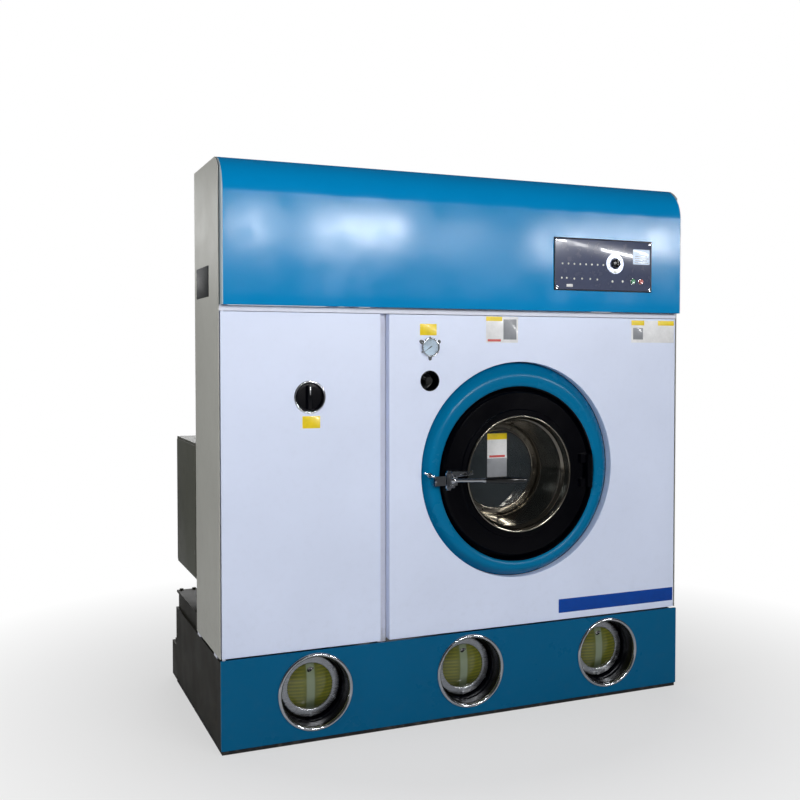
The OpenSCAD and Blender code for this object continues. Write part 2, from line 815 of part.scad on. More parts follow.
module tub() {
    inside_y = tub_y + plate_t;
    color("#8d9296") in_frame() difference() {
        union() {
            facing_back(door_x, inside_y, door_z) {
                cylinder(r = tub_r + tub_t, h = tub_back - inside_y, $fn = 128);
                cylinder(r = tub_flange_r, h = tub_t, $fn = 128);
            }
            air_neck(inlet_x0, inlet_x1, inlet_y0, inlet_y1);
            air_neck(outlet_x0, outlet_x1, outlet_y0, outlet_y1);
            for (y = [inside_y + 40, tub_back - 50])
                box([door_x - 250, y, deck_z], [door_x + 250, y + 8, door_z - tub_r * 0.6]);
            box([door_x - 110, tub_y + 150, door_z - tub_r - 50],
                [door_x + 110, tub_back - 80, door_z - tub_r * 0.9]);
            translate([feed_x, filter_y, door_z + 230])
                cylinder(r = pipe_r + 5, h = feed_top - door_z - 230);
        }
        facing_back(door_x, inside_y - cut, door_z)
            cylinder(r = tub_r, h = tub_back - inside_y - tub_t + cut, $fn = 128);
        facing_back(door_x, tub_back - 2 * tub_t, door_z) cylinder(r = shaft_r + 8, h = 4 * tub_t);
        for (neck = [[inlet_x0, inlet_x1, inlet_y0, inlet_y1], [outlet_x0, outlet_x1, outlet_y0, outlet_y1]])
            box([neck[0] + tub_t, neck[2] + tub_t, door_z], [neck[1] - tub_t, neck[3] - tub_t, shelf_z]);
        box([door_x - 106, tub_y + 154, door_z - tub_r - 46], [door_x + 106, tub_back - 84, door_z]);
    }
}

module lifter() {
    length = drum_d - 8;
    translate([drum_r - 3.5, 0, 4]) linear_extrude(length)
        polygon([[0, -42], [0, 42], [-lifter_h + 12, 13], [-lifter_h + 3, 8], [-lifter_h, 0],
            [-lifter_h + 3, -8], [-lifter_h + 12, -13]]);
}

module drum() {
    wall = 3;
    lip_r = window_r + 32;
    color("#c4c7c9") in_frame() facing_back(door_x, drum_y, door_z) {
        difference() {
            cylinder(r = drum_r, h = drum_d, $fn = 128);
            translate([0, 0, wall]) cylinder(r = drum_r - wall, h = drum_d - 2 * wall, $fn = 128);
            translate([0, 0, -cut]) cylinder(r = lip_r, h = 2 * wall);
        }
        translate([0, 0, -8]) ring(lip_r + 3, lip_r, 8);
        difference() {
            around(lifters, 0) lifter();
            translate([0, 0, -cut]) cylinder(r = 40, h = drum_d);
        }
        translate([0, 0, drum_d]) {
            for (i = [0:2]) rotate(i * 120 + 30) translate([0, -22, 0]) cube([drum_r - 20, 44, 14]);
            cylinder(r = 62, h = 30);
            cylinder(r = shaft_r, h = pulley_y + pulley_w + 8 - drum_back);
        }
    }
}

module bearing_housing() {
    length = pulley_y - tub_back - 14;
    color("#33518c") in_frame() facing_back(door_x, tub_back, door_z) difference() {
        union() {
            cylinder(r = 120, h = 14);
            cylinder(r = 62, h = length);
            for (i = [0:5]) rotate(i * 60) rotate([90, 0, 0]) translate([0, 0, -5]) linear_extrude(10)
                polygon([[0, 0], [112, 14], [60, length - 20], [0, length - 20]]);
            around(6, 102) rotate(30) translate([0, 0, 14]) bolt_head(18, 8);
        }
        translate([0, 0, -cut]) cylinder(r = shaft_r + run, h = length + 2 * cut);
    }
}

module pulley(outer, width, bore, spokes) {
    rim = 12;
    flange = 4;
    difference() {
        union() {
            cylinder(r = outer, h = width);
            cylinder(r = outer + 7, h = flange);
            translate([0, 0, width - flange]) cylinder(r = outer + 7, h = flange);
        }
        translate([0, 0, -cut]) cylinder(r = bore + run, h = width + 2 * cut);
        if (spokes > 0) {
            for (z = [-cut, width * 0.65]) translate([0, 0, z]) difference() {
                cylinder(r = outer - rim, h = width * 0.35 + cut);
                translate([0, 0, -cut]) cylinder(r = bore + 24, h = width);
            }
            translate([0, 0, -cut])
                around(spokes, outer * 0.56) cylinder(r = outer * 0.2, h = width + 2 * cut);
        }
    }
}

module drum_pulley() color("#3c4044") in_frame()
    facing_back(door_x, pulley_y, door_z) pulley(drum_pulley_r, pulley_w, shaft_r, 5);

motor_shaft_r = 14;
motor_len = 210;
motor_face_y = pulley_y - 12;

module motor_pulley() {
    color("#4a4e52") in_frame() facing_back(motor_x, 0, motor_z) {
        translate([0, 0, pulley_y]) pulley(motor_pulley_r, pulley_w, motor_shaft_r - run, 0);
        translate([0, 0, motor_face_y - 40])
            cylinder(r = motor_shaft_r, h = pulley_y + pulley_w - motor_face_y + 44);
    }
}

// A finned motor along its own Z, with its drive end at z = length.
module motor_body(radius, length, fins) {
    cylinder(r = radius - 4, h = length);
    translate([0, 0, length - 16]) cylinder(r = radius, h = 16);
    translate([0, 0, 24]) for (i = [0:fins - 1]) rotate(i * 360 / fins)
        translate([radius - 6, -1.5, 0]) cube([8, 3, length - 50]);
    cylinder(r = radius + 3, h = 30);
}

module drive_motor() {
    radius = 82;
    color("#2f6e9e") in_frame() {
        difference() {
            union() {
                facing_back(motor_x, motor_face_y - motor_len, motor_z) motor_body(radius, motor_len, 24);
                box([motor_x - 75, motor_face_y - 170, deck_z],
                    [motor_x + 75, motor_face_y - 40, deck_z + 12]);
                for (x = [-70, 50])
                    box([motor_x + x, motor_face_y - 160, deck_z + 12],
                        [motor_x + x + 20, motor_face_y - 50, motor_z - 20]);
                box([motor_x - 40, motor_face_y - 150, motor_z + radius - 14],
                    [motor_x + 40, motor_face_y - 70, motor_z + radius + 34]);
            }
            facing_back(motor_x, motor_face_y - 42, motor_z) cylinder(r = motor_shaft_r + run, h = 60);
        }
    }
}

module drive_belt() {
    color("#151515") in_frame() facing_back(door_x, pulley_y + (pulley_w - belt_w) / 2, door_z)
        linear_extrude(belt_w) difference() {
            hull() {
                circle(r = drum_pulley_r + belt_t + seat, $fn = 96);
                translate([motor_x - door_x, door_z - motor_z])
                    circle(r = motor_pulley_r + belt_t + seat, $fn = 48);
            }
            hull() {
                circle(r = drum_pulley_r + seat, $fn = 96);
                translate([motor_x - door_x, door_z - motor_z]) circle(r = motor_pulley_r + seat, $fn = 48);
            }
        }
}

/* ---- Controls ---- */

dial_x = control_x1 - 158;
dial_z = control_z + 99;
stop_x = control_x1 - 48;
start_x = stop_x - 34;
button_z = control_z + 38;
selector_stem_r = 4;
button_face = control_y - control_t;

module control_panel() {
    color("#17181c") in_frame() difference() {
        union() {
            box([control_x1 - control_w, button_face, control_z],
                [control_x1, control_y, control_z + control_h]);
            box([control_x1 - control_w + housing_in, control_y, control_z + housing_in],
                [control_x1 - housing_in, control_y + housing_d, control_z + control_h - housing_in]);
        }
        facing_back(dial_x, button_face - cut, dial_z) cylinder(r = selector_stem_r + run, h = 22);
        for (x = [start_x, stop_x])
            facing_back(x, button_face - cut, button_z) cylinder(r = button_r + seat, h = 20);
    }
}

module selector_knob() {
    color("#0f1013") in_frame() facing_back(dial_x, button_face, dial_z) {
        translate([0, 0, -seat]) cylinder(r = selector_stem_r, h = 18);
        translate([0, 0, -16 - seat]) rotate_extrude() polygon([
            [0, 0], [selector_r - 3, 0], [selector_r - 1.5, 2],
            [selector_r, 13], [selector_r, 16], [0, 16]]);
        translate([-2, -selector_r + 1, -20 - seat]) cube([4, 2 * selector_r - 2, 6]);
    }
}

module push_button(x) facing_back(x, button_face, button_z) translate([0, 0, -7])
    rotate_extrude() polygon([
        [0, 0], [button_r - 1.5, 0], [button_r, 1.5], [button_r, 19], [0, 19]]);

module start_button() color("#2f9a5a") in_frame() push_button(start_x);

module stop_button() color("#c2392f") in_frame() push_button(stop_x);

dial_y = -3.5;                              // face of the gauge's dial
gauge_front = -9;

module gauge_case() {
    ear_r = gauge_r + 6;
    color("#c9ccd0") in_frame() facing_back(gauge_x, gauge_front, gauge_z) difference() {
        union() {
            cylinder(r = gauge_r, h = -gauge_front);
            cylinder(r = gauge_r - 4, h = -gauge_front + 34);
            translate([0, 0, -gauge_front - 3]) linear_extrude(3)
                for (i = [0:2]) rotate(i * 120 + 30) hull() {
                circle(r = 12);
                translate([-ear_r, 0]) circle(r = 6);
            }
            translate([0, 0, -gauge_front + 34]) cylinder(r = 7, h = 18);
        }
        translate([0, 0, -cut]) cylinder(r = gauge_r - 4, h = dial_y - gauge_front + cut);
        translate([0, 0, dial_y - gauge_front - cut]) cylinder(r = 2 + run, h = 8);
    }
}

module gauge_lens() color([0.8, 0.88, 0.92, 0.4]) in_frame()
    facing_back(gauge_x, gauge_front + 0.6, gauge_z) cylinder(r = gauge_r - 4 - seat, h = 1.6);

module gauge_needle() {
    length = gauge_r - 9;
    color("#101010") in_frame() facing_back(gauge_x, dial_y, gauge_z) {
        translate([0, 0, -2]) cylinder(r = 2, h = 7);
        translate([0, 0, -1.6]) rotate(145) linear_extrude(0.8)
            polygon([[-7, -1.6], [0, -1.4], [length, -0.4], [length, 0.4], [0, 1.4], [-7, 1.6]]);
    }
}

cup_d = 42;

module regulator_cup() {
    outer = regulator_r - 2 - seat;
    color("#0d0e12") in_frame() facing_back(gauge_x, 0, regulator_z) difference() {
        union() {
            translate([0, 0, -2]) cylinder(r = regulator_r, h = 2);
            cylinder(r = outer, h = cup_d);
            translate([0, 0, cup_d]) cylinder(r = 22, h = 56);
        }
        translate([0, 0, -2 - cut]) cylinder(r = outer - 2.5, h = cup_d);
        translate([0, 0, cup_d - 10]) cylinder(r = 5 + run, h = 30);
    }
}

module regulator_knob() {
    color("#c7cacc") in_frame() facing_back(gauge_x, 6, regulator_z) {
        difference() {
            cylinder(r = 13, h = 30);
            around(12, 14) translate([0, 0, -cut]) cylinder(r = 1.6, h = 40, $fn = 16);
        }
        cylinder(r = 5, h = 50);
    }
}

/* ---- Service door ---- */

module service_door() {
    color("#dfe2ec") in_frame() {
        difference() {
            tray(service_x, side_door_w, seam_h, panel_top, panel_return);
            facing_back(latch_x, -cut, latch_z) cylinder(r = latch_cup_r - 3, h = 2 * cut + sheet_t);
            translate([service_pin_x, service_pin_y, seam_h - cut])
                cylinder(r = service_pin_r + run, h = panel_top - seam_h + 2 * cut);
        }
        for (x = [latch_x + 75, side_door_w - 62]) difference() {
            box([x, sheet_t, latch_z - 15], [x + 24, bolt_y + bolt_t + 4, latch_z + 15]);
            box([x - cut, bolt_y - seat, latch_z - 6 - seat],
                [x + 24 + cut, bolt_y + bolt_t + seat, latch_z + 6 + seat]);
        }
    }
}

module latch_cup() {
    inner = latch_cup_r - 6;
    color("#b9bec2") in_frame() facing_back(latch_x, 0, latch_z) difference() {
        union() {
            translate([0, 0, -2]) rotate_extrude() polygon([
                [0, 0], [latch_cup_r - 2, 0], [latch_cup_r, 2], [0, 2]]);
            cylinder(r = latch_cup_r - 3 - seat, h = latch_cup_d);
        }
        translate([0, 0, -2 - cut]) cylinder(r = inner, h = latch_cup_d);
        translate([0, 0, latch_cup_d - 10]) cylinder(r = 5 + run, h = 20);
    }
}

module latch_knob() {
    disc_r = latch_cup_r - 8;
    color("#14171b") in_frame() facing_back(latch_x, 0, latch_z) {
        translate([0, 0, 8]) rotate_extrude() polygon([
            [0, 0], [disc_r - 3, 0], [disc_r, 3], [disc_r, 9], [0, 9]]);
        difference() {
            translate([-8, -disc_r + 3, -5]) cube([16, 2 * disc_r - 6, 14]);
            for (side = [-1, 1]) translate([side * 14, -disc_r, -6]) rotate([0, side * 18, 0])
                translate([side > 0 ? 0 : -20, 0, -10]) cube([20, 2 * disc_r, 30]);
        }
        cylinder(r = 5, h = panel_return);
        translate([0, 0, panel_return - 5]) {
            rotate(45) translate([-8, -crank_r - 6, 0]) cube([16, crank_r + 8, 4.5]);
            rotate(45) translate([0, -crank_r, 4])
                cylinder(r = crank_pin_r, h = bolt_y + bolt_t + 2 - panel_return);
        }
    }
}

module latch_bolt() {
    slack = 0.8;
    slot_half = crank_pin_r + slack;
    pin_x = latch_x + crank_r * sin(45);
    color("#b9bcc0") in_frame() difference() {
        union() {
            box([pin_x - 14, bolt_y, latch_z - 6], [mullion_x + 17, bolt_y + bolt_t, latch_z + 6]);
            box([pin_x - 14, bolt_y, latch_z - 6], [pin_x + 14, bolt_y + bolt_t, latch_z + crank_r + 14]);
        }
        box([pin_x - slot_half, bolt_y - cut, latch_z + crank_r * cos(45) - crank_pin_r - 2],
            [pin_x + slot_half, bolt_y + bolt_t + cut, latch_z + crank_r + crank_pin_r + 2]);
    }
}

/* ---- Air circuit ---- */

module fan_housing() {
    wall = 3;
    outlet_w = volute_r + 42;
    color("#9aa0a4") in_frame() facing_back(fan_x, fan_y, fan_z) difference() {
        union() {
            linear_extrude(fan_w) {
                circle(r = volute_r + 20);
                translate([-12, -12]) circle(r = volute_r + 22);
                translate([-head_to_fan, -volute_r - 34]) square([head_to_fan, 100]);
            }
            translate([0, 0, -6]) cylinder(r = 92, h = 7);
        }
        translate([0, 0, wall]) linear_extrude(fan_w - 2 * wall) {
            circle(r = volute_r + 17);
            translate([-12, -12]) circle(r = volute_r + 19);
            translate([-head_to_fan - cut, -volute_r - 31]) square([head_to_fan + cut, 94]);
        }
        translate([0, 0, -6 - cut]) cylinder(r = 85, h = 6 + wall + 2 * cut);
        translate([0, 0, fan_w - wall - cut]) cylinder(r = 30, h = wall + 2 * cut);
    }
}

head_to_fan = fan_x - head_x1 - 60;
fan_shaft_r = 11;
fan_motor_y = fan_y + fan_w;

module fan_impeller() {
    width = 78;
    color("#7b8084") in_frame() facing_back(fan_x, fan_y + 16, fan_z) {
        ring(fan_r, 80, 3);
        for (i = [0:fan_blades - 1]) rotate(i * 360 / fan_blades) translate([fan_r - 34, 0, 2.5])
            rotate(35) translate([0, -1.5, 0]) cube([36, 3, width - 4]);
        translate([0, 0, width - 2]) cylinder(r = fan_r, h = 4);
        translate([0, 0, width - 30]) cylinder(r = 28, h = 30);
        translate([0, 0, width - 30])
            cylinder(r = fan_shaft_r, h = fan_motor_y + 30 - fan_y - 16 - width + 30);
    }
}

module fan_motor() {
    length = 130;
    color("#2f6e9e") in_frame() facing_back(fan_x, fan_motor_y, fan_z) difference() {
        union() {
            cylinder(r = 100, h = 10);
            translate([0, 0, length]) mirror([0, 0, 1]) motor_body(70, length, 20);
        }
        translate([0, 0, -cut]) cylinder(r = fan_shaft_r + run, h = 34 + cut);
    }
}

module duct(low, high, wall) {
    difference() {
        box(low, high);
        box([low.x + wall, low.y + wall, low.z - cut], [high.x - wall, high.y - wall, high.z + cut]);
    }
    for (z = [low.z, high.z - 4]) difference() {
        box([low.x - 14, low.y - 14, z], [high.x + 14, high.y + 14, z + 4]);
        box([low.x, low.y, z - cut], [high.x, high.y, z + 4 + cut]);
    }
}

// The four lengths of duct that join tub, lint filter, fan and recovery head into one circuit.
module air_ducts() {
    wall = 3;
    neck_top = shelf_z - 10;
    plenum_half = 130;
    plenum_y0 = lint_y0 + 4;
    color("#a3a8ac") in_frame() {
        duct([inlet_x0, inlet_y0, neck_top], [inlet_x1, inlet_y1, head_z0], wall);
        duct([outlet_x0, outlet_y0, neck_top], [outlet_x1, outlet_y1, lint_z0], wall);
        difference() {
            box([fan_x - plenum_half, plenum_y0, lint_z1], [fan_x + plenum_half, fan_y - 6, fan_z + 110]);
            box([fan_x - plenum_half + wall, plenum_y0 + wall, lint_z1 - cut],
                [fan_x + plenum_half - wall, fan_y - 6 - wall, fan_z + 110 - wall]);
            facing_back(fan_x, fan_y - 6 - wall - cut, fan_z) cylinder(r = 85, h = wall + 2 * cut);
        }
        duct_to_head();
    }
}

module duct_to_head() {
    wall = 3;
    top = fan_z + volute_r + 34;
    left = head_x1 + 4;
    right = head_x1 + 60;
    front = head_y1 - 90;
    rear = fan_y + fan_w;
    difference() {
        union() {
            box([head_x1, front, top - 100], [right, head_y1, top]);
            box([left, front, top - 100], [right, rear, top]);
        }
        box([head_x1 - cut, front + wall, top - 100 + wall], [right - wall, head_y1 - wall, top - wall]);
        box([left + wall, front + wall, top - 100 + wall], [right - wall, rear - wall, top - wall]);
        box([right - wall - cut, fan_y + wall, top - 100 + wall], [right + cut, rear - wall, top - wall]);
    }
}

module recovery_head() {
    wall = 4;
    low = head_z0 + wall + seat;
    high = head_z1 - wall - seat;
    hole_y0 = inlet_y0 + 4;
    hole_y1 = inlet_y1 - 4;
    notch_y = head_y1 - 86;
    notch_z = fan_z + volute_r - 62;
    color("#b3b8bb") in_frame() {
        // Floor sheets round the inlet, lid, front
        box([head_x0, head_y0, head_z0], [head_x1, hole_y0, head_z0 + wall]);
        box([head_x0, hole_y1, head_z0], [head_x1, head_y1, head_z0 + wall]);
        for (x = [[head_x0, inlet_x0 + 4], [inlet_x1 - 4, head_x1]])
            box([x[0], hole_y0 + seat, head_z0], [x[1], hole_y1 - seat, head_z0 + wall]);
        box([head_x0, head_y0, head_z1 - wall], [head_x1, head_y1, head_z1]);
        box([head_x0, head_y0, low], [head_x1, head_y0 + wall, high]);
        // Right, notched for the duct
        box([head_x1 - wall, head_y0 + wall + seat, low], [head_x1, notch_y, high]);
        box([head_x1 - wall, notch_y + seat, low], [head_x1, head_y1 - wall - seat, notch_z]);
        // Left and rear, ribbed
        box([head_x0, head_y0 + wall + seat, low], [head_x0 + wall, head_y1 - wall - seat, high]);
        box([head_x0, head_y1 - wall, low], [head_x1, head_y1, high]);
        for (z = [head_z0 + 110, head_z0 + 230, head_z0 + 350]) {
            box([head_x0 - 4, head_y0 + wall + seat, z], [head_x0, head_y1 - wall - seat, z + 12]);
            box([head_x0 - 4, head_y1, z], [head_x1, head_y1 + 4, z + 12]);
        }
        for (i = [0:5]) facing_back(head_x0 + 60 + i * 60, head_y1 - 1, head_z0 + 290)
            cylinder(r = 16, h = 12);
    }
}

module lint_filter_box() {
    wall = 4;
    color("#9da2a6") in_frame() {
        difference() {
            box([lint_x0, lint_y0, lint_z0], [lint_x1, lint_y1, lint_z1]);
            box([lint_x0 + wall, lint_y0 + wall, lint_z0 + wall],
                [lint_x1 - wall, lint_y1 - wall, lint_z1 - wall]);
            box([lint_x0 + 30, lint_y1 - wall - cut, lint_z0 + 30],
                [lint_x1 - 30, lint_y1 + cut, lint_z1 - 30]);
            box([outlet_x0 + 4, outlet_y0 + 4, lint_z0 - cut],
                [outlet_x1 - 4, outlet_y1 - 4, lint_z0 + wall + cut]);
            box([fan_x - 120, lint_y0 + 10, lint_z1 - wall - cut], [fan_x + 120, fan_y - 14, lint_z1 + cut]);
        }
        for (x = [lint_x0, lint_x1 - 30]) {
            box([x, lint_y1 - cut, lint_z0], [x + 30, back_post_y + 30, lint_z0 + 6]);
            box([x, rear_post_y + 6, lint_z0], [x + 30, lint_y0 + cut, lint_z0 + 6]);
        }
        translate([lint_hinge_x, lint_hinge_y, 0]) {
            translate([0, 0, lint_z0 + 60]) cylinder(r = 6, h = lint_z1 - lint_z0 - 120);
            box([-14, -12, lint_z0 + 60], [-4, 0, lint_z1 - 60]);
            translate([0, 0, lint_z0 + 30]) cylinder(r = 3, h = lint_z1 - lint_z0 - 60);
        }
    }
}

lint_hinge_x = lint_x1 + 8;
lint_hinge_y = lint_y1 + 5;

module lint_filter_door() {
    t = 6;
    color("#c0c4c6") in_frame() {
        box([lint_x0 + 12, lint_y1 + seat, lint_z0 + 12], [lint_x1 - 8, lint_y1 + t, lint_z1 - 12]);
        for (z = [lint_z0 + 30, lint_z1 - 60 + seat]) difference() {
            union() {
                translate([lint_hinge_x, lint_hinge_y, z]) cylinder(r = 6, h = 30 - seat);
                box([lint_x1 - 10, lint_y1 + seat, z], [lint_hinge_x, lint_y1 + t, z + 30 - seat]);
            }
            translate([lint_hinge_x, lint_hinge_y, z - cut]) cylinder(r = 3 + run, h = 32);
        }
        for (z = [lint_z0 + 70, lint_z1 - 82])
            box([lint_x0 + 30, lint_y1 + t, z], [lint_x0 + 42, lint_y1 + t + 28, z + 12]);
        box([lint_x0 + 30, lint_y1 + t + 28, lint_z0 + 70], [lint_x0 + 42, lint_y1 + t + 38, lint_z1 - 70]);
    }
}

/* ---- Machinery in the left bay and at the back ---- */

module still() {
    wall = 5;
    neck_l = still_neck_y - still_y;
    color("#a9adb0") in_frame() translate([still_x, still_y, 0]) {
        difference() {
            union() {
                translate([0, 0, still_z0]) cylinder(r = still_r, h = still_h);
                translate([0, 0, still_z0 + still_h]) cylinder(r1 = still_r, r2 = 40, h = 60);
                facing_back(0, 0, still_door_z) cylinder(r = still_neck_r, h = neck_l);
                facing_back(0, neck_l - 10, still_door_z) cylinder(r = still_neck_r + 22, h = 10);
            }
            translate([0, 0, still_z0 + wall]) cylinder(r = still_r - wall, h = still_h - wall);
            translate([0, 0, still_z0 + still_h - cut / 2]) cylinder(r1 = still_r - wall, r2 = 34, h = 58);
            facing_back(0, 0, still_door_z) cylinder(r = still_neck_r - wall, h = neck_l + cut);
        }
        for (i = [0:2]) rotate(i * 120 - 90) translate([still_r - 30, -12, deck_z])
            cube([24, 24, still_z0 - deck_z]);
        translate([-still_hinge, still_neck_y - still_y + 2, still_door_z]) {
            translate([0, 0, -24]) cylinder(r = 8, h = 48);
            translate([0, 0, -50]) cylinder(r = 4, h = 100);
            box([0, -12, -24], [24, -3, 24]);
        }
    }
}

still_hinge = still_neck_r + 34;

module still_door() {
    t = 12;
    y = still_neck_y + seat;
    color("#7f8488") in_frame() {
        facing_back(still_x, y, still_door_z) {
            cylinder(r = still_neck_r + 20, h = t);
            translate([0, 0, t]) cylinder(r = 16, h = 26);
            translate([0, 0, t + 20]) ring(60, 51, 9);
            for (i = [0:2]) rotate(i * 60) translate([-55, -4, t + 21]) cube([110, 8, 7]);
        }
        for (low = [-50, 24 + seat]) difference() {
            union() {
                translate([still_x - still_hinge, still_neck_y + 2, still_door_z + low])
                    cylinder(r = 8, h = 26 - seat);
                box([still_x - still_hinge, y, still_door_z + low],
                    [still_x - still_neck_r + 10, y + 8, still_door_z + low + 26 - seat]);
            }
            translate([still_x - still_hinge, still_neck_y + 2, still_door_z + low - cut])
                cylinder(r = 4 + run, h = 30);
        }
    }
}

module solvent_filter() {
    color("#7c8a90") in_frame() translate([filter_x, filter_y, 0]) {
        translate([0, 0, filter_z0]) rotate_extrude() polygon([
            [0, 0], [filter_r * 0.45, 0], [filter_r, 70], [filter_r, filter_h - 60],
            [filter_r + 12, filter_h - 60], [filter_r + 12, filter_h - 36], [filter_r, filter_h - 36],
            [filter_r * 0.8, filter_h - 12], [filter_r * 0.35, filter_h], [0, filter_h]]);
        for (i = [0:2]) rotate(i * 120 + 90) translate([filter_r - 14, -12, deck_z])
            cube([10, 24, filter_z0 - deck_z + 80]);
        translate([0, 0, filter_z0 + filter_h - 36]) around(8, filter_r + 5) bolt_head(9, 8);
    }
}

trap_hinge_y = trap_y0 + trap_l + 10;
trap_top = deck_z + trap_h;

module button_trap() {
    wall = 4;
    color("#84888b") in_frame() {
        difference() {
            union() {
                box([trap_x0, trap_y0, deck_z], [trap_x0 + trap_w, trap_y0 + trap_l, trap_top]);
                box([trap_x0 - 8, trap_y0 - 8, trap_top - 6],
                    [trap_x0 + trap_w + 8, trap_y0 + trap_l, trap_top]);
                box([trap_x0 + 45, trap_y0 + trap_l - 4, trap_top - 14],
                    [trap_x0 + trap_w - 45, trap_hinge_y, trap_top - 2]);
                facing_right(trap_x0 + 45, trap_hinge_y, trap_top) cylinder(r = 7, h = trap_w - 90);
                facing_right(trap_x0 + 15, trap_hinge_y, trap_top) cylinder(r = 3.5, h = trap_w - 30);
            }
            box([trap_x0 + wall, trap_y0 + wall, deck_z + wall],
                [trap_x0 + trap_w - wall, trap_y0 + trap_l - wall, trap_top + cut]);
        }
    }
}

module button_trap_lid() {
    t = 8;
    z = trap_top + seat;
    color("#b4b8ba") in_frame() {
        box([trap_x0 - 6, trap_y0 - 6, z], [trap_x0 + trap_w + 6, trap_y0 + trap_l - 2, z + t]);
        for (x = [trap_x0 + 15, trap_x0 + trap_w - 45 + seat]) difference() {
            union() {
                facing_right(x, trap_hinge_y, trap_top) cylinder(r = 7, h = 30 - seat);
                box([x, trap_y0 + trap_l - 6, z], [x + 30 - seat, trap_hinge_y, z + 6.5]);
            }
            facing_right(x - cut, trap_hinge_y, trap_top) cylinder(r = 3.5 + run, h = 32);
        }
        facing_right(trap_x0 + trap_w / 2 - 35, trap_y0 + 25, z + t + 22) cylinder(r = 6, h = 70);
        for (x = [-35, 29])
            box([trap_x0 + trap_w / 2 + x, trap_y0 + 21, z + t],
                [trap_x0 + trap_w / 2 + x + 6, trap_y0 + 29, z + t + 22]);
    }
}

module solvent_pump() {
    head_y = 112;
    color("#2c4f6e") in_frame() {
        facing_back(pump_x, head_y, pump_z) {
            cylinder(r = pump_r + 4, h = 44);
            translate([0, 0, 44]) cylinder(r = 28, h = 20);
            translate([0, 0, 64]) motor_body(pump_r, 140, 16);
        }
        translate([pump_x + 30, head_y + 22, pump_z]) cylinder(r = 16, h = 72);
        box([pump_x - 40, head_y + 70, deck_z], [pump_x + 40, head_y + 180, deck_z + 8]);
        for (x = [-34, 22])
            box([pump_x + x, head_y + 80, deck_z + 8], [pump_x + x + 12, head_y + 170, pump_z - 20]);
    }
}

box_y0 = cabinet_d + 15;
box_y1 = 742;
box_z0 = 469;
box_z1 = 937;
box_x1 = 254;
gland_z = box_z0 + 60;

module electrical_box() {
    wall = 3;
    color("#a9adab") in_frame() {
        difference() {
            box([sheet_t + 2, box_y0, box_z0], [box_x1, box_y1, box_z1]);
            box([sheet_t + 2 + wall, box_y0 + wall, box_z0 + wall],
                [box_x1 - wall, box_y1 - wall, box_z1 - wall]);
            facing_back(box_x1 - 60, box_y1 - wall - cut, gland_z) cylinder(r = 14, h = wall + 2 * cut);
        }
        box([sheet_t + 2, cabinet_d, box_z0 + 40], [sheet_t + 62, box_y0, box_z0 + 80]);
        box([sheet_t + 2, cabinet_d, box_z1 - 80], [sheet_t + 62, box_y0, box_z1 - 40]);
        facing_back(box_x1 - 60, box_y1 - wall, gland_z) difference() {
            union() {
                cylinder(r = 13.5, h = wall + 4);
                translate([0, 0, wall]) bolt_head(36, 8);
                translate([0, 0, wall + 8]) cylinder(r = 15, h = 14);
            }
            translate([0, 0, -cut]) cylinder(r = 9, h = 40);
        }
    }
}

stub_y = base_d + 22;                       // free end of the service pipes
stub_l = 40;

// A pipe straight back from y0 to the free end, with a union nut before the stub.
module service_pipe(x, y0, z, radius) {
    pipe([[x, y0, z], [x, stub_y, z]], radius);
    facing_back(x, stub_y - stub_l - 20, z) bolt_head(radius * 2.6, 20);
}

water_in_x = head_x0 + 90;
water_out_x = head_x0 + 190;
steam_in_x = head_x0 + 90;
steam_out_x = head_x0 + 190;
water_z = head_z0 + 430;
steam_z = head_z0 + 180;
air_y0 = 98;
air_r = 6;
drain_x = 60;
drain_z = 84;

module pipework() {
    still_top = still_z0 + still_h + 60;
    filter_top = filter_z0 + filter_h;
    feed_z = filter_top + 84;
    color("#9a7f52") in_frame() {
        for (x = [water_in_x, water_out_x]) service_pipe(x, head_y1 + seat, water_z, pipe_r);
        for (x = [steam_in_x, steam_out_x]) service_pipe(x, head_y1 + seat, steam_z, pipe_r);
        service_pipe(gauge_x, air_y0, regulator_z, air_r);
        facing_back(drain_x, base_d + sump_d + seat, drain_z) cylinder(r = pipe_r + 10, h = 8);
        pipe([[drain_x, base_d + sump_d + 2, drain_z], [drain_x, base_d + sump_d + 30, drain_z]], pipe_r);
        pipe([[pump_x, 86, deck_z + seat], [pump_x, 86, pump_z], [pump_x, 112 - seat, pump_z]], pipe_r);
        pipe([[pump_x + 30, 134, pump_z + 72 + seat], [pump_x + 30, 134, filter_z0 + 300],
            [pump_x + 30, filter_y, filter_z0 + 300],
            [filter_x + filter_r + seat, filter_y, filter_z0 + 300]], pipe_r - 2);
        pipe([[filter_x, filter_y, filter_top + seat], [filter_x, filter_y, feed_z],
            [feed_x, filter_y, feed_z], [feed_x, filter_y, feed_top + seat]], pipe_r);
        pipe([[still_x, still_y, still_top + seat], [still_x, still_y, head_z0 + 60],
            [head_x0 + 40, still_y, head_z0 + 60],
            [head_x0 + 40, head_y1 + seat, head_z0 + 60]], pipe_r + 6);
    }
}

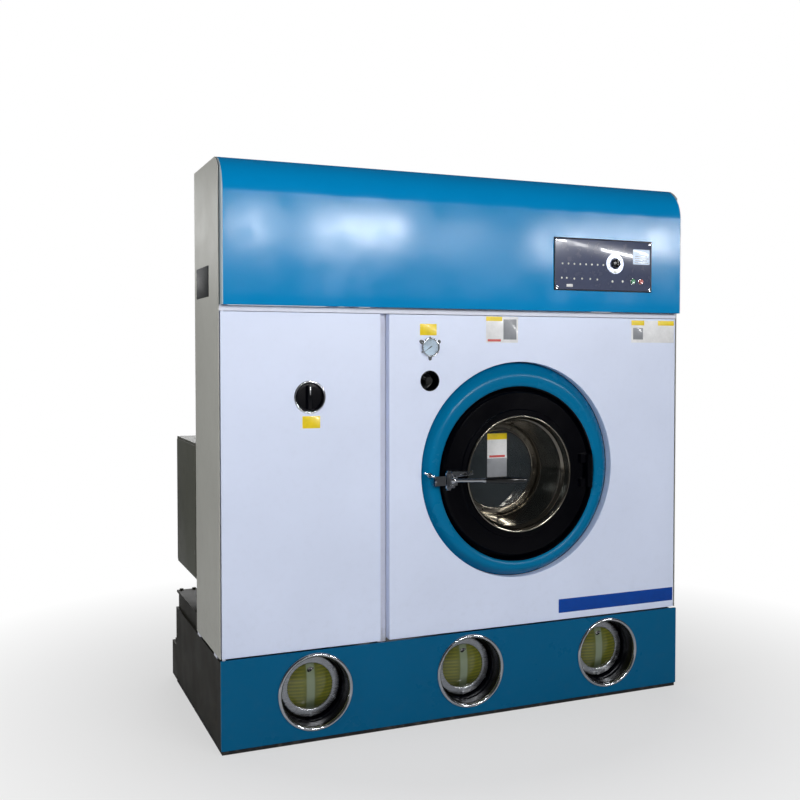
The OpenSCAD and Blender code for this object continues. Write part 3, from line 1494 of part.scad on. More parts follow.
plinth_frame();
solvent_tank();
base_front_plate();
porthole_bezels();
porthole_cups();
sight_glass_rings();
sight_glasses();
cabinet_frame();
left_side_panel();
right_side_panel();
top_cover();
top_fascia();
fascia_end_caps();
front_panel();
door_surround();
tub();
tub_front_plate();
door_fixings();
bearing_housing();
drive_motor();
drive_belt();
control_panel();
gauge_case();
gauge_lens();
regulator_cup();
fan_housing();
fan_motor();
recovery_head();
air_ducts();
lint_filter_box();
still();
solvent_filter();
button_trap();
solvent_pump();
pipework();
electrical_box();
door_ring();
window_well();
window_clamp_ring();
door_glass();
door_seal();
latch_bracket();
door_lever();
lever_grip();
drum();
drum_pulley();
motor_pulley();
fan_impeller();
service_door();
latch_cup();
latch_knob();
latch_bolt();
gauge_needle();
regulator_knob();
selector_knob();
start_button();
stop_button();
lint_filter_door();
still_door();
button_trap_lid();
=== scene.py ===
"""Looks of a dry cleaning machine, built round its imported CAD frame.

Every size is in millimetres from the front left corner of the cabinet, as in the part's source:
X runs right from the left side panel, Y runs back from the white front panels, Z runs up from the
floor. placed() turns such points into the frame's metres.
"""

from __future__ import annotations

import json
import logging
import math
from collections.abc import Callable, Iterable, Sequence
from dataclasses import dataclass, replace
from enum import Enum, IntEnum

import bmesh
import bpy
import numpy as np
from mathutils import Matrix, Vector

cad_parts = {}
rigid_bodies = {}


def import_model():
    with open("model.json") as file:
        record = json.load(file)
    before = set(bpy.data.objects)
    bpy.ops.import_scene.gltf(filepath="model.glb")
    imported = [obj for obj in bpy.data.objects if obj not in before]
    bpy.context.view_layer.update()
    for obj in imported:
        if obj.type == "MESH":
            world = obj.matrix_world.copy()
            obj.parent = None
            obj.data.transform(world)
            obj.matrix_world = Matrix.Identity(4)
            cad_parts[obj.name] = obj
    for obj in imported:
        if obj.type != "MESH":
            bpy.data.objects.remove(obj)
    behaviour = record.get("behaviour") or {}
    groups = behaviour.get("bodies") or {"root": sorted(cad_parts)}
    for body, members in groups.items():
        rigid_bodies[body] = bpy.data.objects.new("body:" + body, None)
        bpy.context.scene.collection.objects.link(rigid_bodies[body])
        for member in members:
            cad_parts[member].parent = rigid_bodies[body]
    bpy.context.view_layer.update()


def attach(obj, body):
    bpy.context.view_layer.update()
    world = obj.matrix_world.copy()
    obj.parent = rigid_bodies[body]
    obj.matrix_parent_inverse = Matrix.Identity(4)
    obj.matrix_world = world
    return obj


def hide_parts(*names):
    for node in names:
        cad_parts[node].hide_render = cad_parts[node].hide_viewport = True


LOG = logging.getLogger("dry_cleaning_machine")
Colour = tuple[float, float, float]
Array = np.ndarray

WIDTH = 1713.0
BASE_DEPTH = 778.0
HEIGHT = 1850.0
DOOR_X, DOOR_Z = 1052.0, 826.0
MM = 1000.0  # millimetres in a metre
ORIGIN = np.array([WIDTH / 2, BASE_DEPTH / 2, 0.0])  # the frame's origin in cabinet millimetres
WELD = 2e-6  # metres: points nearer than this are one point
SPECK = 1e-6  # metres: edges shorter than this are dissolved
FLAT = 0.6  # degrees: flat faces are joined up to this angle before their edges are broken
COAT_GLOSS = 0.04  # roughness of a clear coat
GLASS_IOR = 1.5


class Body(str, Enum):
    """The rigid bodies that pieces ride on."""

    CABINET = "cabinet"
    LOADING_DOOR = "loading_door"
    LEVER = "lever"
    DRUM = "drum"
    MOTOR_ROTOR = "motor_rotor"
    FAN_WHEEL = "fan_wheel"
    SERVICE_DOOR = "service_door"
    LATCH_KNOB = "latch_knob"
    LATCH_BOLT = "latch_bolt"
    NEEDLE = "needle"
    REGULATOR_KNOB = "regulator_knob"
    SELECTOR = "selector"
    START_BUTTON = "start_button"
    STOP_BUTTON = "stop_button"
    LINT_DOOR = "lint_door"
    STILL_DOOR = "still_door"
    TRAP_LID = "trap_lid"


class Axis(Enum):
    """The machine axis that a turned piece is turned about."""

    X = 0
    Y = 1
    Z = 2


class Sides(IntEnum):
    """How many faces a turned piece has round its axis, by how large it looks."""

    SCREW = 24
    WASHER = 32
    LEVER = 40
    BUTTON = 48
    DIAL = 64
    BEZEL = 72
    RING = 96
    RIM = 128
    WELL = 160


def placed(points: Array) -> Array:
    """Cabinet millimetres to frame metres: the origin moves under the middle of the base.

    Args:
        points: any array whose last axis is X, Y, Z.

    Returns:
        The points in the frame.
    """
    return (points - ORIGIN) / MM


def linear(colour: Sequence[float]) -> tuple[float, float, float, float]:
    """A colour as it looks on a screen, 0 to 1, as the linear light a shader socket takes."""
    c = np.asarray(colour[:3], float)
    out = np.where(c <= 0.04045, c / 12.92, ((c + 0.055) / 1.055) ** 2.4)
    return (float(out[0]), float(out[1]), float(out[2]), 1.0)


# ---------------------------------------------------------------- surfaces


@dataclass
class Sheet:
    """A grid of points, rows by columns, that becomes one surface.

    Args:
        points: an array of shape (rows, columns, 3), in cabinet millimetres.
        wrap_rows: the last row joins the first.
        wrap_cols: the last column joins the first.
        cap_first: a flat face closes the first row.
        cap_last: a flat face closes the last row.
    """

    points: Array
    wrap_rows: bool = False
    wrap_cols: bool = True
    cap_first: bool = False
    cap_last: bool = False

    def faces(self, start: int) -> list[list[int]]:
        """The grid's quads, each from a point to its neighbours down and right, then the caps."""
        rows, cols = self.points.shape[:2]
        index = np.arange(rows * cols).reshape(rows, cols) + start
        lower = np.roll(index, -1, 0)
        if not self.wrap_rows:
            index_a, lower = index[:-1], lower[:-1]
        else:
            index_a = index
        next_a, next_b = np.roll(index_a, -1, 1), np.roll(lower, -1, 1)
        quads = np.stack([index_a, next_a, next_b, lower], -1)
        if not self.wrap_cols:
            quads = quads[:, :-1]
        made = quads.reshape(-1, 4).tolist()
        if self.cap_first:
            made.append(index[0][::-1].tolist())
        if self.cap_last:
            made.append(index[-1].tolist())
        return made

    def turned(self, about: Axis, degrees: float, centre: Sequence[float]) -> Sheet:
        """This sheet turned about a line through centre: two coordinates turn, the third stays."""
        a = math.radians(degrees)
        i, j = {Axis.X: (1, 2), Axis.Y: (2, 0), Axis.Z: (0, 1)}[about]
        p = self.points - np.asarray(centre, float)
        out = p.copy()
        out[..., i] = p[..., i] * math.cos(a) - p[..., j] * math.sin(a)
        out[..., j] = p[..., i] * math.sin(a) + p[..., j] * math.cos(a)
        return replace(self, points=out + np.asarray(centre, float))

    def facing_left(self) -> Sheet:
        """This sheet, made to face -Y, turned to face -X: its X and Y change places."""
        return replace(self, points=self.points[..., [1, 0, 2]])


def filleted(
    corners: Sequence[Sequence[float]], radius: float, steps: int = 5, closed: bool = True
) -> Array:
    """A polyline whose corners are rounded by a quadratic curve.

    Each corner P gives points A(1-t)^2 + 2Pt(1-t) + Bt^2, where A and B lie on its two legs,
    a radius away from P or at most 45% of the leg.

    Args:
        corners: the corner points.
        radius: how far from each corner the curve starts and ends.
        steps: segments in each rounded corner.
        closed: the line closes on itself; otherwise its two ends stay sharp.

    Returns:
        The rounded line, one point a row.
    """
    p = np.asarray(corners, float)
    before, after = np.roll(p, 1, 0) - p, np.roll(p, -1, 0) - p
    len_b = np.linalg.norm(before, axis=1, keepdims=True)
    len_a = np.linalg.norm(after, axis=1, keepdims=True)
    start = p + before * np.minimum(radius / len_b, 0.45)
    end = p + after * np.minimum(radius / len_a, 0.45)
    t = np.linspace(0.0, 1.0, steps + 1)[None, :, None]
    curve = start[:, None] * (1 - t) ** 2 + 2 * p[:, None] * t * (1 - t) + end[:, None] * t**2
    if closed:
        return curve.reshape(-1, p.shape[1])
    return np.concatenate([p[:1], curve[1:-1].reshape(-1, p.shape[1]), p[-1:]])


def lathe(
    profile: Array,
    centre: Sequence[float],
    axis: Axis = Axis.Y,
    sides: int = Sides.RING,
    closed: bool = True,
) -> Sheet:
    """A profile of (radius, height) turned round an axis: point = centre + r (cos a, sin a) + h.

    Args:
        profile: rows of radius and height along the axis.
        centre: the point on the axis where height is 0.
        axis: the axis.
        sides: columns round the turn.
        closed: the profile is a ring in section; otherwise both its ends lie on the axis.

    Returns:
        The turned sheet.
    """
    angle = np.linspace(0.0, 2 * math.pi, sides, endpoint=False)[None, :]
    r, h = profile[:, :1], profile[:, 1:2] + 0 * angle
    side = (r * np.cos(angle), r * np.sin(angle))
    order = {
        Axis.Y: (side[0], h, side[1]),
        Axis.Z: (side[0], side[1], h),
        Axis.X: (h, side[0], side[1]),
    }[axis]
    return Sheet(np.stack(order, -1) + np.asarray(centre, float), wrap_rows=closed)


def carried(profile: Array, stations: Array, along: Axis = Axis.X) -> Sheet:
    """A closed profile carried straight along an axis, with flat caps.

    Args:
        profile: rows of the two other coordinates, in X, Y, Z order.
        stations: where along the axis each copy of the profile stands.
        along: the axis.

    Returns:
        The carried sheet.
    """
    k, n = len(stations), len(profile)
    line = np.repeat(np.asarray(stations, float)[:, None], n, 1)
    a, b = np.broadcast_to(profile[:, 0], (k, n)), np.broadcast_to(profile[:, 1], (k, n))
    order = {Axis.X: (line, a, b), Axis.Y: (a, line, b), Axis.Z: (a, b, line)}[along]
    return Sheet(np.stack(order, -1), cap_first=True, cap_last=True)


def rounded_rectangle(
    x0: float, x1: float, z0: float, z1: float, radius: float, steps: int = 5
) -> Array:
    """The outline of a rectangle with round corners, as rows of X and Z."""
    return filleted([[x0, z0], [x1, z0], [x1, z1], [x0, z1]], radius, steps)


def plate(outline: Array, front: float, back: float, edge: float = 0.6) -> Sheet:
    """A flat plate facing -Y whose front edge is rounded: three rings step in by 0, 0.3 and 1 edge.

    Args:
        outline: rows of X and Z.
        front: Y of the front face.
        back: Y of the back face.
        edge: size of the rounded edge.

    Returns:
        The plate, closed front and back.
    """
    middle = outline.mean(0)
    inward = middle - outline
    inward /= np.maximum(np.abs(inward).max(1, keepdims=True), 1e-6)
    steps = np.array([[0.0, back], [0.0, front + edge], [0.3, front + 0.3 * edge], [1.0, front]])
    ring = outline[None] + inward[None] * steps[:, :1, None] * edge
    depth = np.broadcast_to(steps[:, 1:2], ring.shape[:2])
    return Sheet(np.stack([ring[..., 0], depth, ring[..., 1]], -1), cap_first=True, cap_last=True)


def bolt(
    centre: Sequence[float], flats: float, height: float, axis: Axis = Axis.Y,
    outwards: float = -1.0
) -> Sheet:
    """A hexagon head with a washer face and a domed top.

    Its radius is flats / 2 over the cosine of the angle to the nearest flat.

    Args:
        centre: the middle of its seat.
        flats: width across flats.
        height: height of the head.
        axis: the bolt's axis.
        outwards: 1 or -1, the way the head stands along the axis.

    Returns:
        The head.
    """
    a = np.linspace(0.0, 2 * math.pi, 36, endpoint=False)
    flat = flats / 2 / np.cos((a + math.pi / 6) % (math.pi / 3) - math.pi / 6)
    rows = [
        (0.0, 1.12, 1), (0.12, 1.12, 1), (0.12, 1.0, 0), (0.82, 1.0, 0), (1.0, 0.86, 1),
        (1.0, 0.5, 1)
    ]
    rings = []
    for h, scale, round_ in rows:
        r = np.full_like(a, flats / 2 * scale) if round_ else flat * scale
        rings.append(
            np.stack([r * np.cos(a), np.full_like(a, h * height * outwards), r * np.sin(a)], -1)
        )
    p = np.stack(rings)
    if axis is Axis.Z:
        p = p[..., [0, 2, 1]]
    elif axis is Axis.X:
        p = p[..., [1, 0, 2]]
    return Sheet(p + np.asarray(centre, float), cap_first=True, cap_last=True)


def ring_of(
    piece: Sheet, count: int, centre: Sequence[float], axis: Axis = Axis.Y, first: float = 0.0
) -> list[Sheet]:
    """Copies of a sheet spaced evenly round an axis."""
    return [piece.turned(axis, first + i * 360.0 / count, centre) for i in range(count)]


# ---------------------------------------------------------------- finishes


class Nodes:
    """A short way to write a node tree.

    Args:
        tree: the tree that nodes go into.
    """

    def __init__(self, tree: bpy.types.NodeTree) -> None:
        """Starts with an empty tree."""
        self.tree = tree
        tree.nodes.clear()

    def add(self, kind: str, **settings: object) -> bpy.types.Node:
        """A new node of a kind, with its settings."""
        node = self.tree.nodes.new(kind)
        for name, value in settings.items():
            setattr(node, name, value)
        return node

    def join(self, source: bpy.types.NodeSocket, target: bpy.types.NodeSocket) -> None:
        """A link from one socket to another."""
        self.tree.links.new(source, target)

    def math(
        self, operation: str, a: object, b: object = 0.0, c: object = 0.0
    ) -> bpy.types.NodeSocket:
        """The result of a Math node on sockets or numbers."""
        node = self.add("ShaderNodeMath", operation=operation)
        for socket, value in zip(node.inputs, (a, b, c)):
            if isinstance(value, bpy.types.NodeSocket):
                self.join(value, socket)
            else:
                socket.default_value = float(value)
        return node.outputs[0]

    def noise(
        self, vector: object, scale: float, detail: float = 2.0, roughness: float = 0.5
    ) -> bpy.types.NodeSocket:
        """Noise from 0 to 1 on a vector."""
        node = self.add("ShaderNodeTexNoise")
        node.inputs["Scale"].default_value = scale
        node.inputs["Detail"].default_value = detail
        node.inputs["Roughness"].default_value = roughness
        self.join(vector, node.inputs["Vector"])
        return node.outputs["Fac"]

    def span(
        self, value: object, low: float, high: float, out_low: float, out_high: float
    ) -> bpy.types.NodeSocket:
        """A value carried from one range to another, and held at its ends."""
        node = self.add("ShaderNodeMapRange")
        for name, number in (
            ("From Min", low), ("From Max", high), ("To Min", out_low), ("To Max", out_high)
        ):
            node.inputs[name].default_value = number
        self.join(value, node.inputs["Value"])
        return node.outputs["Result"]

    def mix(self, factor: object, a: object, b: object, blend: str = "MIX") -> bpy.types.NodeSocket:
        """Two colours mixed by a factor."""
        node = self.add("ShaderNodeMix", data_type="RGBA", blend_type=blend)
        for socket, value in ((node.inputs[0], factor), (node.inputs[6], a), (node.inputs[7], b)):
            if isinstance(value, bpy.types.NodeSocket):
                self.join(value, socket)
            elif isinstance(value, tuple):
                socket.default_value = value
            else:
                socket.default_value = float(value)
        return node.outputs[2]

    def bump(
        self, height: object, distance: float, strength: float, normal: object = None
    ) -> bpy.types.NodeSocket:
        """A normal bent by a height, whose full range is a distance in metres."""
        node = self.add("ShaderNodeBump")
        node.inputs["Strength"].default_value = strength
        node.inputs["Distance"].default_value = distance
        self.join(height, node.inputs["Height"])
        if normal is not None:
            self.join(normal, node.inputs["Normal"])
        return node.outputs["Normal"]

    def place(self) -> bpy.types.NodeSocket:
        """The object's own coordinates, in metres."""
        return self.add("ShaderNodeTexCoord").outputs["Object"]

    def parts(self, vector: object) -> bpy.types.NodeOutputs:
        """The X, Y and Z of a vector."""
        node = self.add("ShaderNodeSeparateXYZ")
        self.join(vector, node.inputs[0])
        return node.outputs

    def hypot(self, a: object, b: object) -> bpy.types.NodeSocket:
        """The square root of a a + b b."""
        squares = self.math("MULTIPLY", a, a), self.math("MULTIPLY", b, b)
        return self.math("SQRT", self.math("ADD", *squares))

    def off_axis(
        self, parts: bpy.types.NodeOutputs, given: bpy.types.Node
    ) -> tuple[bpy.types.NodeSocket, ...]:
        """How far X and Z are from the group's axis, and the distance that the two make."""
        dx = self.math("SUBTRACT", parts[0], given.outputs["Axis X"])
        dz = self.math("SUBTRACT", parts[2], given.outputs["Axis Z"])
        return dx, dz, self.hypot(dx, dz)

    def tinted(self, given: bpy.types.Node, share: object) -> bpy.types.NodeSocket:
        """The group's own colour times a share."""
        return self.mix(1.0, given.outputs["Colour"], share, "MULTIPLY")

    def rougher(self, given: bpy.types.Node, more: object) -> bpy.types.NodeSocket:
        """The group's own roughness and some more."""
        return self.math("ADD", given.outputs["Roughness"], more)

    def give(self, out: bpy.types.Node, colour: object, rough: object, normal: object) -> None:
        """Joins a group's three results to its output node."""
        for label, value in (("Colour", colour), ("Roughness", rough), ("Normal", normal)):
            self.join(value, out.inputs[label])

    def blend(self, share: object, first: bpy.types.Node, second: bpy.types.Node) -> bpy.types.Node:
        """Two shaders mixed by a share of the second."""
        node = self.add("ShaderNodeMixShader")
        for source, socket in zip((share, first.outputs[0], second.outputs[0]), node.inputs):
            self.join(source, socket)
        return node


Socket = tuple[str, str, float | tuple[float, float, float, float] | tuple[float, float, float]]


def group(
    name: str, ins: Sequence[Socket], outs: Sequence[Socket], fill: Callable[..., None]
) -> bpy.types.NodeTree:
    """A shader node group that several finishes share, made once.

    Args:
        name: the group's name.
        ins: name, socket kind and default of each input.
        outs: the same of each output.
        fill: draws the inside from Nodes, the input node and the output node.

    Returns:
        The group's tree.
    """
    if name in bpy.data.node_groups:
        return bpy.data.node_groups[name]
    tree = bpy.data.node_groups.new(name, "ShaderNodeTree")
    nodes = Nodes(tree)
    for way, sockets in (("INPUT", ins), ("OUTPUT", outs)):
        for label, kind, value in sockets:
            made = tree.interface.new_socket(label, in_out=way, socket_type=kind)
            if way == "INPUT":
                made.default_value = value
    fill(nodes, nodes.add("NodeGroupInput"), nodes.add("NodeGroupOutput"))
    return tree


def fill_paint(n: Nodes, given: bpy.types.Node, out: bpy.types.Node) -> None:
    """Paint: a slow tint of noise, dust low on the machine, orange-peel bump and rubbed gloss."""
    place = n.place()
    tint = n.span(n.noise(place, 2.3, 3.0), 0.3, 0.7, 0.955, 1.03)
    dust = n.span(n.noise(place, 38.0, 6.0, 0.62), 0.5, 0.75, 0.0, 1.0)
    low = n.span(n.parts(place)[2], 0.0, 0.5, 1.0, 0.25)
    amount = n.math("MULTIPLY", n.math("MULTIPLY", dust, low), given.outputs["Dust"])
    colour = n.mix(amount, n.tinted(given, tint), linear((0.42, 0.40, 0.36)))
    rubbed = n.rougher(given, n.span(n.noise(place, 9.0, 5.0), 0.35, 0.7, -0.03, 0.06))
    peel = n.bump(n.noise(place, 420.0, 1.0), 0.00035, 0.10)
    waves = n.bump(n.noise(place, 7.0, 1.0), 0.004, 0.035, peel)
    n.give(out, colour, n.math("ADD", rubbed, n.math("MULTIPLY", amount, 0.3)), waves)


@dataclass(frozen=True)
class Grain:
    """How much a bare metal's lines and cloudy patches show.

    Args:
        tone: how far the lines lighten and darken the colour.
        cloud: scale of the patches.
        dull: share of the colour in the darkest patch.
        rough: least and most roughness that the lines add.
        patch: roughness that a patch adds.
        depth: height of the lines, in metres.
        strength: strength of their bump.
    """

    tone: float
    cloud: float
    dull: float
    rough: tuple[float, float]
    patch: float
    depth: float
    strength: float

    def fill(
        self, n: Nodes, given: bpy.types.Node, out: bpy.types.Node, place: object, lines: object
    ) -> None:
        """Lays the lines and the patches over the colour, the gloss and the normal."""
        cloud = n.noise(place, self.cloud, 4.0)
        patches = n.span(cloud, 0.3, 0.7, self.dull, 1.03)
        tone = n.math("ADD", n.span(lines, 0.25, 0.75, -self.tone, self.tone), patches)
        rough = n.rougher(given, n.span(lines, 0.3, 0.7, *self.rough))
        rough = n.math("ADD", rough, n.span(cloud, 0.45, 0.7, 0.0, self.patch))
        n.give(out, n.tinted(given, tone), rough, n.bump(lines, self.depth, self.strength))


BRUSHED_GRAIN = Grain(0.10, 6.0, 0.93, (-0.05, 0.08), 0.07, 0.0004, 0.12)
TURNED_GRAIN = Grain(0.08, 8.0, 0.92, (-0.04, 0.07), 0.08, 0.0003, 0.14)
TURNED_SCALE = 1500.0  # turned rings in a metre


def fill_brushed(n: Nodes, given: bpy.types.Node, out: bpy.types.Node) -> None:
    """Brushed metal: noise drawn out along the brush, as streaks of tone, gloss and bump."""
    place = n.place()
    drawn = n.add("ShaderNodeVectorMath", operation="MULTIPLY")
    n.join(place, drawn.inputs[0])
    n.join(given.outputs["Stretch"], drawn.inputs[1])
    BRUSHED_GRAIN.fill(n, given, out, place, n.noise(drawn.outputs[0], 1.0, 3.0, 0.6))


def fill_turned(n: Nodes, given: bpy.types.Node, out: bpy.types.Node) -> None:
    """Turned metal: noise on the distance from an axis along Y, as fine rings of tone and bump."""
    place = n.place()
    parts = n.parts(place)
    away = n.off_axis(parts, given)[2]
    spot = n.add("ShaderNodeCombineXYZ")
    n.join(n.math("MULTIPLY", away, TURNED_SCALE), spot.inputs[0])
    n.join(n.math("MULTIPLY", parts[1], TURNED_SCALE), spot.inputs[1])
    TURNED_GRAIN.fill(n, given, out, place, n.noise(spot.outputs[0], 1.0, 3.0, 0.6))


def fill_cast(n: Nodes, given: bpy.types.Node, out: bpy.types.Node) -> None:
    """Painted casting: sand grain under the paint, with chips where two noises meet."""
    place = n.place()
    grain = n.noise(place, 260.0, 4.0, 0.6)
    chips = n.span(n.noise(place, 21.0, 8.0, 0.75), 0.71, 0.74, 0.0, 0.5)
    tint = n.span(n.noise(place, 5.0, 3.0), 0.3, 0.7, 0.85, 1.15)
    colour = n.mix(chips, n.tinted(given, tint), linear((0.30, 0.29, 0.28)))
    rough = n.rougher(given, n.span(grain, 0.3, 0.7, -0.04, 0.1))
    n.give(out, colour, rough, n.bump(grain, 0.0006, 0.22))


HOLES_ROUND = 150  # holes round the drum
HOLE_ROW = 0.0145  # metres from one row of holes to the next
SHELL_FROM = 0.335  # metres from the axis: only the drum's shell has holes
AHEAD = 200.0  # rows added, so that no share of a row is taken of a number under 0


def fill_perforated(n: Nodes, given: bpy.types.Node, out: bpy.types.Node) -> None:
    """Perforated sheet: round holes where the angle and the depth each repeat.

    Every second row is shifted by half a hole.
    """
    place = n.place()
    parts = n.parts(place)
    dx, dz, radius = n.off_axis(parts, given)
    turn = n.math("DIVIDE", n.math("ARCTAN2", dx, dz), 2 * math.pi / HOLES_ROUND)
    row = n.math("ADD", n.math("DIVIDE", parts[1], HOLE_ROW), AHEAD)
    odd = n.math("MULTIPLY", n.math("MODULO", n.math("FLOOR", row), 2.0), 0.5)
    u = n.math("SUBTRACT", n.math("FRACT", n.math("ADD", n.math("ADD", turn, odd), AHEAD / 2)), 0.5)
    v = n.math("SUBTRACT", n.math("FRACT", row), 0.5)
    shell = n.math("GREATER_THAN", radius, SHELL_FROM)
    hole = n.math("MULTIPLY", n.span(n.hypot(u, v), 0.22, 0.27, 1.0, 0.0), shell)
    tone = n.span(n.noise(place, 7.0, 4.0), 0.3, 0.7, 0.9, 1.05)
    colour = n.mix(hole, n.tinted(given, tone), linear((0.03, 0.03, 0.035)))
    rough = n.rougher(given, n.math("MULTIPLY", hole, 0.4))
    n.give(out, colour, rough, n.bump(n.math("MULTIPLY", hole, -1.0), 0.0012, 0.8))


def fill_moulded(n: Nodes, given: bpy.types.Node, out: bpy.types.Node) -> None:
    """Moulded plastic or rubber: a fine even grain, with a little grime in a slower noise."""
    place = n.place()
    grain = n.noise(place, 900.0, 2.0)
    grime = n.noise(place, 24.0, 6.0, 0.65)
    colour = n.tinted(given, n.span(grime, 0.3, 0.75, 1.05, 0.82))
    rough = n.rougher(given, n.span(grime, 0.4, 0.75, -0.02, 0.12))
    n.give(out, colour, rough, n.bump(grain, 0.0002, 0.12))


COLOUR_IN: Socket = ("Colour", "NodeSocketColor", (0.5, 0.5, 0.5, 1.0))
ROUGH_IN: Socket = ("Roughness", "NodeSocketFloat", 0.4)
NORMAL_OUT: Socket = ("Normal", "NodeSocketVector", (0.0, 0.0, 0.0))
AXIS_IN: tuple[Socket, Socket] = (
    ("Axis X", "NodeSocketFloat", 0.0), ("Axis Z", "NodeSocketFloat", 0.0)
)


class Texture(Enum):
    """The effect under a finish: its name, its fill, and its inputs past colour and roughness."""

    PAINT = ("Paint film", fill_paint, (("Dust", "NodeSocketFloat", 0.3),))
    BRUSHED = (
        "Brushed metal", fill_brushed, (("Stretch", "NodeSocketVector", (30.0, 30.0, 2200.0)),)
    )
    TURNED = ("Turned metal", fill_turned, AXIS_IN)
    CAST = ("Painted casting", fill_cast, ())
    PERFORATED = ("Perforated sheet", fill_perforated, AXIS_IN)
    MOULDED = ("Moulded surface", fill_moulded, ())

    def tree(self) -> bpy.types.NodeTree:
        """The effect's node group."""
        name, fill, extra = self.value
        ins = (COLOUR_IN, ROUGH_IN, *extra)
        return group(name, ins, (COLOUR_IN, ROUGH_IN, NORMAL_OUT), fill)


@dataclass(frozen=True)
class Finish:
    """What a surface is made of.

    Args:
        name: the material's name.
        colour: its colour as seen on a screen.
        texture: the shared effect under it.
        roughness: 0 is a mirror and 1 is chalk.
        metallic: 1 for bare metal.
        coat: a clear gloss over the colour.
        transmission: how much light goes through.
        extra: values for the effect's own inputs.
        glow: light that the surface gives by itself.
        specular: strength of the plain gloss; 0.5 is usual.
    """

    name: str
    colour: Colour
    texture: Texture = Texture.PAINT
    roughness: float = 0.4
    metallic: float = 0.0
    coat: float = 0.0
    transmission: float = 0.0
    extra: tuple[tuple[str, float | tuple[float, float, float]], ...] = ()
    glow: float = 0.0
    specular: float = 0.5

    def material(self) -> bpy.types.Material:
        """The material, made once: the effect group feeds a shader that holds the fixed values."""
        if self.name in bpy.data.materials:
            return bpy.data.materials[self.name]
        mat = bpy.data.materials.new(self.name)
        mat.use_nodes = True
        n = Nodes(mat.node_tree)
        out = n.add("ShaderNodeOutputMaterial")
        skin = n.add("ShaderNodeBsdfPrincipled")
        fixed = {
            "Metallic": self.metallic,
            "Coat Weight": self.coat,
            "Coat Roughness": COAT_GLOSS,
            "Transmission Weight": self.transmission,
            "IOR": GLASS_IOR,
            "Specular IOR Level": self.specular,
        }
        if self.glow:
            fixed |= {"Emission Color": linear(self.colour), "Emission Strength": self.glow}
        for label, value in fixed.items():
            skin.inputs[label].default_value = value
        effect = n.add("ShaderNodeGroup", node_tree=self.texture.tree())
        effect.inputs["Colour"].default_value = linear(self.colour)
        effect.inputs["Roughness"].default_value = self.roughness
        for label, value in self.extra:
            effect.inputs[label].default_value = value
        n.join(self.coloured(n, effect.outputs["Colour"]), skin.inputs["Base Color"])
        for label in ("Roughness", "Normal"):
            n.join(effect.outputs[label], skin.inputs[label])
        n.join(skin.outputs[0], out.inputs[0])
        mat.diffuse_color = linear(self.colour)
        return mat

    def coloured(self, n: Nodes, base: bpy.types.NodeSocket) -> bpy.types.NodeSocket:
        """The colour that reaches the shader, which a finish with its own pattern changes here."""
        return base


@dataclass(frozen=True)
class SightGlassFinish(Finish):
    """A domed sight glass over olive solvent: a paler upright band runs down its middle.

    Args:
        middle: X of the glass's middle, in frame metres.
        rungs: rungs in a metre.
    """

    middle: float = 0.0
    rungs: float = 90.0

    def coloured(self, n: Nodes, base: bpy.types.NodeSocket) -> bpy.types.NodeSocket:
        """Mixes in the paler band where |x - middle| is small, rungs where z repeats, and a foot.
        """
        across, _, up = n.parts(n.place())
        off = n.math("ABSOLUTE", n.math("SUBTRACT", across, self.middle))
        pale_band = n.span(off, 0.011, 0.016, 0.75, 0.0)
        rung = n.math("FRACT", n.math("MULTIPLY", up, self.rungs))
        bands = n.math(
            "MULTIPLY", n.span(rung, 0.25, 0.5, 0.35, 0.0), n.span(off, 0.016, 0.03, 0.0, 1.0)
        )
        foot = n.span(up, 0.095, 0.13, 0.75, 0.0)
        with_bands = n.mix(bands, base, linear((0.58, 0.55, 0.16)))
        with_pale_band = n.mix(pale_band, with_bands, linear((0.50, 0.55, 0.47)))
        return n.mix(foot, with_pale_band, linear((0.14, 0.17, 0.08)))


DOOR_AXIS = (("Axis X", (DOOR_X - ORIGIN[0]) / MM), ("Axis Z", DOOR_Z / MM))


def dusty(amount: float) -> tuple[tuple[str, float]]:
    """The dust on a painted finish."""
    return (("Dust", amount),)


def drawn_out(
    across: float, depth: float, up: float
) -> tuple[tuple[str, tuple[float, float, float]]]:
    """The scales of a brushed finish's noise along X, Y and Z."""
    return (("Stretch", (across, depth, up)),)


